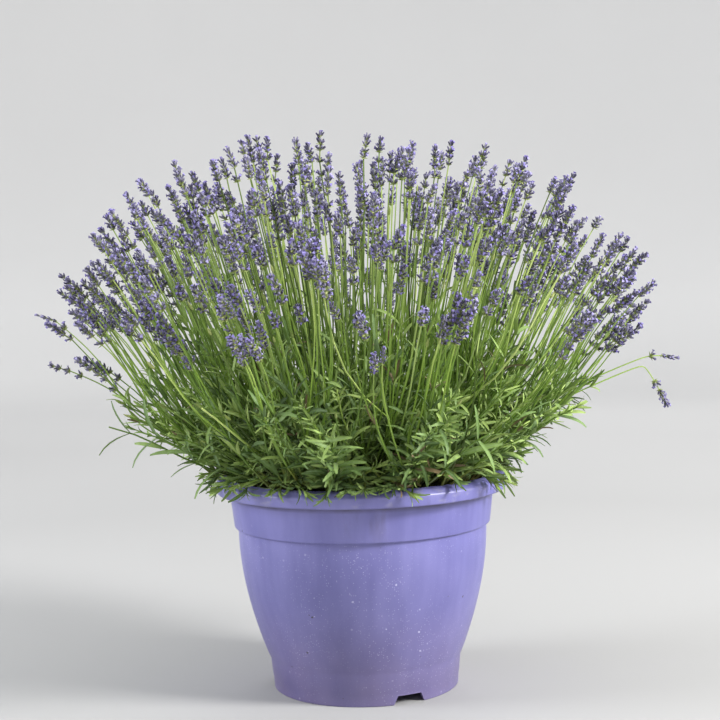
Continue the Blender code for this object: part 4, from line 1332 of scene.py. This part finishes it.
def soil_finish():
    """Dark moist potting soil."""
    made, tree = finish("soil", 0.95, 0.25)
    place = object_place(tree)
    grain = spots(tree, place, 260, 6, 0.7)
    colour = ramp(tree, grain, (0.3, (0.012, 0.008, 0.006)), (0.62, (0.045, 0.030, 0.020)),
                  (0.8, (0.10, 0.070, 0.045)))
    return coated(made, colour, spots(tree, place, 500, 5), 0.8, 0.001)


def crumb_finish():
    """Grains of soil and bark, from black to light brown."""
    made, tree = finish("crumbs", 0.9, 0.25)
    colour = ramp(tree, mark(tree, "tint"), (0.0, (0.010, 0.007, 0.005)), (0.55, (0.040, 0.026, 0.016)),
                  (0.9, (0.13, 0.085, 0.05)), (1.0, (0.32, 0.28, 0.22)))
    grain = spots(tree, object_place(tree), 900, 3)
    colour = mixed(tree, 0.5, colour, ramp(tree, grain, (0.3, 0.35), (0.7, 1.0)), "MULTIPLY")
    return coated(made, colour, grain, 0.6, 0.0004)


def stem_finish():
    """Green stems, brown and woody at the foot and yellower towards the head, with paler ribs; their tint
    darkens them with painted shade and lightens them with painted light.
    """
    made, tree = finish("stems", 0.5, 0.35)
    foot = ramp(tree, mark(tree, "along"), (0.0, (0.10, 0.065, 0.035)), (0.09, (0.12, 0.12, 0.03)),
                (0.20, (0.090, 0.170, 0.020)), (0.50, (0.158, 0.272, 0.040)), (0.90, (0.410, 0.515, 0.215)))
    # Painted shade at low tints, nearly black for the gaps deep in the bush, and painted light at high tints
    shade = ramp(tree, mark(tree, "tint"), (0.0, (0.05, 0.09, 0.02)), (0.45, (0.80, 0.90, 0.60)),
                 (1.0, (2.05, 1.85, 1.65)))
    colour = mixed(tree, 1.0, foot, shade, "MULTIPLY")
    colour = mixed(tree, times(tree, mark(tree, "ridge"), 0.25), colour, (0.36, 0.46, 0.12))
    streaks = spots(tree, object_place(tree, (1, 1, 0.06)), 1400, 3)
    colour = mixed(tree, 0.4, colour, ramp(tree, streaks, (0.3, 0.6), (0.7, 1.15)), "MULTIPLY")
    return coated(made, colour, streaks, 0.3, 0.0003)


def bark_finish():
    """Grey-brown bark with upright cracks."""
    made, tree = finish("bark", 0.9, 0.2)
    cracks = spots(tree, object_place(tree, (1, 1, 0.2)), 420, 5, 0.6)
    colour = ramp(tree, cracks, (0.35, (0.035, 0.024, 0.016)), (0.6, (0.12, 0.088, 0.060)),
                  (0.8, (0.20, 0.16, 0.12)))
    return coated(made, colour, cracks, 0.9, 0.0012)


def leaf_finish():
    """Narrow green leaves from grey-green to fresh green, with a paler midrib and dusty down."""
    made, tree = finish("leaves", 0.55, 0.35, 0.08)
    shade = ramp(tree, mark(tree, "tint"), (0.0, (0.042, 0.090, 0.018)), (0.35, (0.120, 0.210, 0.042)),
                 (0.7, (0.255, 0.370, 0.080)), (1.0, (0.420, 0.540, 0.145)))
    along = ramp(tree, mark(tree, "along"), (0.0, 0.78), (0.35, 1.0), (0.9, 1.06), (1.0, 0.85))
    colour = mixed(tree, 1.0, shade, along, "MULTIPLY")
    rib = times(tree, worked(tree, "POWER", mark(tree, "ridge"), 3.0), 0.45)
    colour = mixed(tree, rib, colour, (0.25, 0.36, 0.16))
    down = spots(tree, object_place(tree), 420, 4)
    colour = mixed(tree, ramp(tree, down, (0.45, 0.0), (0.75, 0.30)), colour, (0.22, 0.30, 0.18))
    dry = worked(tree, "LESS_THAN", mark(tree, "tint"), 0.6 * DRY_TINT)
    colour = mixed(tree, dry, colour, (0.175, 0.130, 0.065))
    return coated(made, colour, down, roughness=ramp(tree, down, (0.3, 0.46), (0.7, 0.66)))


def calyx_finish():
    """Downy calyces: green at the foot, then grey violet and deep indigo, lighter at the mouth."""
    made, tree = finish("calyces", 0.75, 0.3, 0.35)
    dark = ramp(tree, mark(tree, "along"), (0.0, (0.28, 0.36, 0.07)), (0.34, (0.190, 0.220, 0.080)),
                (0.54, (0.048, 0.044, 0.078)), (0.8, (0.027, 0.023, 0.066)), (1.0, (0.108, 0.094, 0.210)))
    light = ramp(tree, mark(tree, "along"), (0.0, (0.38, 0.47, 0.11)), (0.34, (0.32, 0.35, 0.18)),
                 (0.54, (0.222, 0.215, 0.282)), (0.8, (0.206, 0.192, 0.325)), (1.0, (0.380, 0.358, 0.540)))
    colour = mixed(tree, ramp(tree, mark(tree, "tint"), (0.25, 0.0), (0.95, 1.0)), dark, light)
    down = spots(tree, object_place(tree), 1300, 3)
    colour = mixed(tree, ramp(tree, down, (0.5, 0.0), (0.8, 0.35)), colour, (0.20, 0.18, 0.30))
    return coated(made, colour, down, 0.4, 0.0003)


def petal_finish():
    """Bright violet corollas of varied tone, with darker veins."""
    made, tree = finish("corollas", 0.6, 0.3, 0.2)
    colour = ramp(tree, mark(tree, "tint"), (0.0, (0.145, 0.118, 0.370)), (0.5, (0.225, 0.198, 0.480)),
                  (1.0, (0.42, 0.39, 0.66)))
    veins = spots(tree, object_place(tree), 1500, 2)
    colour = mixed(tree, ramp(tree, veins, (0.4, 0.0), (0.8, 0.4)), colour, (0.14, 0.09, 0.44))
    return coated(made, colour)


def bract_finish():
    """The yellow-green of bracts, flower stalks and buds."""
    made, tree = finish("bracts", 0.6, 0.3)
    colour = ramp(tree, mark(tree, "tint"), (0.0, (0.16, 0.22, 0.05)), (0.6, (0.31, 0.38, 0.11)),
                  (1.0, (0.47, 0.51, 0.20)))
    fine = spots(tree, object_place(tree), 900, 2)
    colour = mixed(tree, 0.4, colour, ramp(tree, fine, (0.3, 0.6), (0.7, 1.1)), "MULTIPLY")
    return coated(made, colour)


def floor_finish():
    """A floor that is darker under the pot and lightens towards the far sides."""
    made, tree = finish("pale_floor", 0.9, 0.2)
    place = object_place(tree)
    clouds = spots(tree, place, 0.8, 3)
    length = add(tree, "VectorMath", {"Vector": place}, operation="LENGTH").outputs["Value"]
    far = worked(tree, "DIVIDE", length, BOWL_R)
    pale = ramp(tree, far, (0.20, 0.39), (0.37, 0.47), (0.55, 0.62), (0.66, 0.73), (0.76, 0.77),
                (0.90, 0.735))
    shade = ramp(tree, clouds, (0.3, 0.97), (0.7, 1.0))
    return coated(made, mixed(tree, 1.0, pale, shade, "MULTIPLY"))


# Pieces

def shown(name, mesh, materials, smooth_to=35):
    made = bpy.data.objects.new(name, mesh)
    mesh.name = name
    for material in materials:
        mesh.materials.append(material)
    mesh.shade_smooth()
    mesh.set_sharp_from_angle(angle=math.radians(smooth_to))
    bpy.context.scene.collection.objects.link(made)
    return made


def piece(name, shape, materials, nodes=(), smooth_to=35):
    """A piece of the part from a bmesh, which stands for the solids that are named."""
    made = shown(name, to_mesh(shape, name), materials, smooth_to)
    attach(made, "root")
    if nodes:
        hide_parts(*nodes)
    return made


def turned(profile, steps=TURN_STEPS):
    """A body turned round the Z axis from an outline of (radius, height) points."""
    shape = bmesh.new()
    chain = [shape.verts.new((r, 0, z)) for r, z in profile]
    edges = [shape.edges.new(pair) for pair in zip(chain, chain[1:])]
    bmesh.ops.spin(
        shape, geom=chain + edges, axis=(0, 0, 1), cent=(0, 0, 0),
        angle=2 * math.pi, steps=steps, use_merge=True,
    )
    bmesh.ops.remove_doubles(shape, verts=shape.verts, dist=TOUCH)
    bmesh.ops.recalc_face_normals(shape, faces=shape.faces)
    return shape


def round_ring(shape, radius, z, offset):
    """Rounds the edge of a turned body at a radius and a height."""
    def on_ring(vertex):
        return abs(vertex.co.xy.length - radius) < 10 * TOUCH and abs(vertex.co.z - z) < 10 * TOUCH

    edges = [edge for edge in shape.edges if all(on_ring(vertex) for vertex in edge.verts)]
    bmesh.ops.bevel(
        shape, geom=edges, offset=offset, offset_type="OFFSET", affect="EDGES",
        segments=3, profile=0.5, material=-1,
    )


def carve(made, cutters):
    """Cuts the cutters out of a piece and removes them."""
    group = bpy.data.collections.new("cutters")
    for cutter in cutters:
        group.objects.link(cutter)
    cut = made.modifiers.new("Cut", "BOOLEAN")
    cut.operand_type = "COLLECTION"
    cut.collection = group
    cut.operation = "DIFFERENCE"
    bpy.context.view_layer.update()
    mesh = bpy.data.meshes.new_from_object(made.evaluated_get(bpy.context.evaluated_depsgraph_get()))
    made.modifiers.clear()
    made.data = mesh
    mesh.name = made.name
    for cutter in cutters:
        bpy.data.objects.remove(cutter)
    bpy.data.collections.remove(group)


def cutter_of(shape):
    bmesh.ops.recalc_face_normals(shape, faces=shape.faces)
    return bpy.data.objects.new("cutter", to_mesh(shape, "cutter"))


def body_radius(z):
    """The flared side between the neck and the shoulder, steep at both ends."""
    t = (z - NECK_Z) / (SHOULDER_Z - NECK_Z)
    return NECK_R + (SHOULDER_R - NECK_R) * math.sin(0.5 * math.pi * t) ** 0.9


def inside_radius(z):
    """The inner face of the wall, under the lip."""
    if z > SHOULDER_Z:
        t = (z - SHOULDER_Z) / (POT_HEIGHT - SHOULDER_Z)
        return (SHOULDER_R - WALL) * (1 - t) + (CREST_R - CREST_WIDTH) * t
    return body_radius(max(z, NECK_Z)) - WALL


def foot_radius(z):
    return FOOT_R + (NECK_R - FOOT_R) * z / NECK_Z


def make_pot():
    """The hollow pot, turned, with rounded edges, water notches and drain holes."""
    line = MOULD_LINE_Z
    inner_foot = FOOT_R - FOOT_RING
    profile = [(0, FLOOR_UNDER), (inner_foot, FLOOR_UNDER), (inner_foot, 0), (FOOT_R, 0)]
    profile += [(foot_radius(line) - MOULD_LINE_DEPTH, line), (foot_radius(line), line + MOULD_LINE_HEIGHT)]
    body = [NECK_Z + (SHOULDER_Z - NECK_Z) * i / BODY_RINGS for i in range(BODY_RINGS + 1)]
    profile += [(body_radius(z), z) for z in body]
    profile += [SEAM] + [(r, z) for r, z, _ in ROUNDS[1:]]
    profile += [(inside_radius(z), z) for z in [POT_HEIGHT - CREST_WIDTH, SHOULDER_Z] + body[-2::-1]]
    profile += [(inside_radius(FLOOR_TOP), FLOOR_TOP), (0, FLOOR_TOP)]
    shape = turned(profile)
    for r, z, offset in ROUNDS:
        round_ring(shape, r, z, offset)
    pot = piece("pot_shell", shape, [pot_finish()], ["pot"])
    notches = [notch_cutter(azimuth) for azimuth in NOTCH_AZIMUTHS]
    carve(pot, notches + [drain_cutter(360 * i / DRAIN_HOLES) for i in range(DRAIN_HOLES)])


def notch_cutter(azimuth):
    """A block with sloping sides across the foot ring."""
    shape = bmesh.new()
    made = bmesh.ops.create_cube(shape, size=1)["verts"]
    bmesh.ops.scale(shape, vec=(NOTCH_WIDTH, 2 * NOTCH_REACH, NOTCH_HEIGHT + CUT_PAST), verts=made)
    bmesh.ops.translate(shape, vec=(0, -FOOT_R, (NOTCH_HEIGHT - CUT_PAST) / 2), verts=made)
    top = [vertex for vertex in made if vertex.co.z > 0]
    bmesh.ops.scale(shape, vec=(NOTCH_TOP_WIDTH / NOTCH_WIDTH, 1, 1), verts=top)
    bmesh.ops.rotate(shape, matrix=Matrix.Rotation(math.radians(azimuth), 3, "Z"), verts=made)
    return cutter_of(shape)


def drain_cutter(azimuth):
    shape = bmesh.new()
    depth = FLOOR_TOP - FLOOR_UNDER + 2 * CUT_PAST
    bmesh.ops.create_cone(
        shape, cap_ends=True, segments=DRAIN_SIDES, radius1=DRAIN_R, radius2=DRAIN_R, depth=depth,
        matrix=Matrix.Translation(around(azimuth, DRAIN_CIRCLE_R, (FLOOR_TOP + FLOOR_UNDER) / 2)),
    )
    return cutter_of(shape)


def soil_height(x, y):
    """The height of the soil, with broad bumps and a fine grain."""
    fine = noise.fractal(Vector((x, y, 0)) / SOIL_GRAIN_SIZE, 0.9, 2.0, 3)
    return SOIL_Z + SOIL_BUMP * noise.noise(Vector((x, y, 0)) / SOIL_BUMP_SIZE) + SOIL_GRAIN * fine


def make_soil(cells):
    """Soil that fills the pot to just under the lip, with a hole for each woody stub."""
    edge_z = SOIL_Z - SOIL_EDGE_DROP
    last_ring = SOIL_EDGE_SHARE * inside_radius(edge_z)
    profile = [(last_ring * i / SOIL_RINGS, SOIL_Z) for i in range(SOIL_RINGS + 1)]
    for z in (edge_z, SHOULDER_Z, 0.5 * (SHOULDER_Z + NECK_Z), NECK_Z, FLOOR_TOP + GAP):
        profile.append((inside_radius(z) - 4 * GAP, z))
    profile.append((0, FLOOR_TOP + GAP))
    shape = turned(profile)
    for vertex in shape.verts:
        if vertex.co.z > edge_z + GAP:
            vertex.co.z = soil_height(vertex.co.x, vertex.co.y)
    soil = piece("soil_bed", shape, [soil_finish()], ["soil"])
    carve(soil, [stub_hole(cell) for cell in cells])


def stub_hole(cell):
    """A cone round the woody stub, a gap wider."""
    shape = bmesh.new()
    bottom, top = stub_point(cell, SOIL_Z - HOLE_DEPTH - GAP), stub_point(cell, SOIL_Z + STUB_RISE)
    turn = (top - bottom).to_track_quat("Z", "Y").to_matrix()
    bmesh.ops.create_cone(
        shape, cap_ends=True, segments=HOLE_SIDES, radius1=STUB_R + GAP, radius2=STUB_TOP_R + GAP,
        depth=(top - bottom).length, matrix=placed((bottom + top) / 2, turn, 1),
    )
    return cutter_of(shape)


def crumb_mesh(rng):
    """An uneven grain of about unit radius."""
    shape = gathering()
    made = bmesh.ops.create_icosphere(shape, subdivisions=1, radius=1)["verts"]
    for vertex in made:
        vertex.co *= rng.uniform(*CRUMB_DENTS)
    bmesh.ops.scale(shape, vec=(1, rng.uniform(*CRUMB_WIDTHS), rng.uniform(*CRUMB_HEIGHTS)), verts=made)
    return to_mesh(shape, "crumb")


def make_crumbs(rng):
    """Loose grains and chips of bark on the soil."""
    shape = gathering()
    grains = [crumb_mesh(rng) for _ in range(CRUMB_SHAPES)]
    chip = drawn_up(CHIP_OUTLINE, CHIP_LEVELS)
    edge = SOIL_EDGE_SHARE * inside_radius(SOIL_Z)
    for number in range(CRUMBS + CHIPS):
        spot = around(rng.uniform(0, 360), edge * math.sqrt(rng.random()), 0)
        spot.z = soil_height(spot.x, spot.y)
        turn = Matrix.Rotation(rng.uniform(0, 2 * math.pi), 3, "Z")
        if number < CRUMBS:
            size = rng.uniform(*CRUMB_SIZES)
            grain = rng.choice(grains)
            place = placed(spot + Vector((0, 0, CRUMB_LIFT * size)), turn, size, size)
            gather(shape, grain, place, rng.random())
            continue
        length = rng.uniform(*CHIP_LENGTHS)
        lying = turn @ Matrix.Rotation(math.radians(rng.uniform(*CHIP_TILTS)), 3, "X")
        place = placed(spot + Vector((0, 0, CHIP_LIFT)), lying, CHIP_SLIMNESS * length, length)
        gather(shape, chip, place, rng.uniform(*CHIP_TINTS))
    piece("soil_crumbs", shape, [crumb_finish()], smooth_to=30)


def make_bush():
    """The pieces of every spray: its stems, its leaves and its flowers. Returns the cells."""
    rng = random.Random(SEED + 1)
    bush = grow_bush()
    patterns = Patterns(rng)
    stems, bark, leaves = stem_finish(), bark_finish(), leaf_finish()
    flowers = [calyx_finish(), petal_finish(), bract_finish()]
    all_heads = [head for _, tufts, _ in bush for tuft in tufts for head in tuft]
    for cell, tufts, shoots in bush:
        spray = grown_spray(rng, cell, tufts, shoots, all_heads, patterns)
        add_stub(spray)
        node = "spray_" + cell.name
        piece("stems_" + cell.name, spray.stems, [stems, bark], [node], 60)
        piece("leaves_" + cell.name, spray.leaves, [leaves], [node], 60)
        nodes = [f"flowers_{cell.name}_{number}" for number in range(1, len(tufts) + 1)]
        piece("blooms_" + cell.name, spray.flowers, flowers, nodes, 50)
    return [cell for cell, *_ in bush]


# Stage

BOWL_R, BOWL_FLAT, BOWL_HEIGHT, BOWL_RINGS, BOWL_STEPS = 6.0, 3.4, 4.6, 12, 96


def make_floor():
    """A pale floor that turns up far away on every side."""
    profile = [(0, 0), (BOWL_FLAT, 0)]
    bend_r = BOWL_R - BOWL_FLAT
    for i in range(1, BOWL_RINGS + 1):
        angle = 0.5 * math.pi * i / BOWL_RINGS
        profile.append((BOWL_FLAT + bend_r * math.sin(angle), bend_r * (1 - math.cos(angle))))
    profile.append((BOWL_R, BOWL_HEIGHT))
    shape = turned(profile, BOWL_STEPS)
    bmesh.ops.reverse_faces(shape, faces=shape.faces)
    floor = shown("floor", to_mesh(shape, "floor"), [floor_finish()], 80)


def softbox(name, place, aim, size, power, colour=(1, 1, 1)):
    """A square light that faces a point."""
    light = bpy.data.lights.new(name, "AREA")
    light.shape = "SQUARE"
    light.size = size
    light.energy = power
    light.color = colour
    made = bpy.data.objects.new(name, light)
    made.location = place
    made.rotation_euler = (Vector(aim) - Vector(place)).to_track_quat("-Z", "Y").to_euler()
    bpy.context.scene.collection.objects.link(made)


def make_light():
    middle = (0, 0, 0.28)
    softbox("key_light", (2.50, -1.10, 1.75), middle, 0.8, 156, (1.0, 0.985, 0.96))
    softbox("side_light", (-2.35, -0.25, 1.2), middle, 1.0, 52, (0.95, 0.97, 1.0))
    softbox("back_light", (0.5, 2.4, 2.1), middle, 1.6, 22)
    softbox("top_light", (0, 0, 5.2), middle, 8.0, 190)
    world = bpy.data.worlds.new("studio")
    world.use_nodes = True
    back = world.node_tree.nodes["Background"]
    back.inputs["Color"].default_value = (0.95, 0.97, 1.0, 1)
    back.inputs["Strength"].default_value = 0.33
    bpy.context.scene.world = world
    bpy.context.scene.view_settings.view_transform = "Standard"


CAMERA_PLACE, CAMERA_PITCH, CAMERA_ROLL, CAMERA_LENS = (0.0018, -1.495, 0.414), 3.4, 1.49, 75


def make_camera():
    data = bpy.data.cameras.new("camera")
    data.lens = CAMERA_LENS
    data.sensor_width = 36
    camera = bpy.data.objects.new("camera", data)
    tilt, roll = rotation(90 - CAMERA_PITCH, "X"), rotation(-CAMERA_ROLL, "Z")
    camera.matrix_world = Matrix.Translation(CAMERA_PLACE) @ tilt @ roll
    bpy.context.scene.collection.objects.link(camera)
    bpy.context.scene.camera = camera


def main():
    make_camera()
    make_light()
    make_floor()
    make_pot()
    cells = make_bush()
    make_soil(cells)
    make_crumbs(random.Random(SEED + 2))
    for mesh in [mesh for mesh in bpy.data.meshes if mesh.users == 0]:
        bpy.data.meshes.remove(mesh)


main()
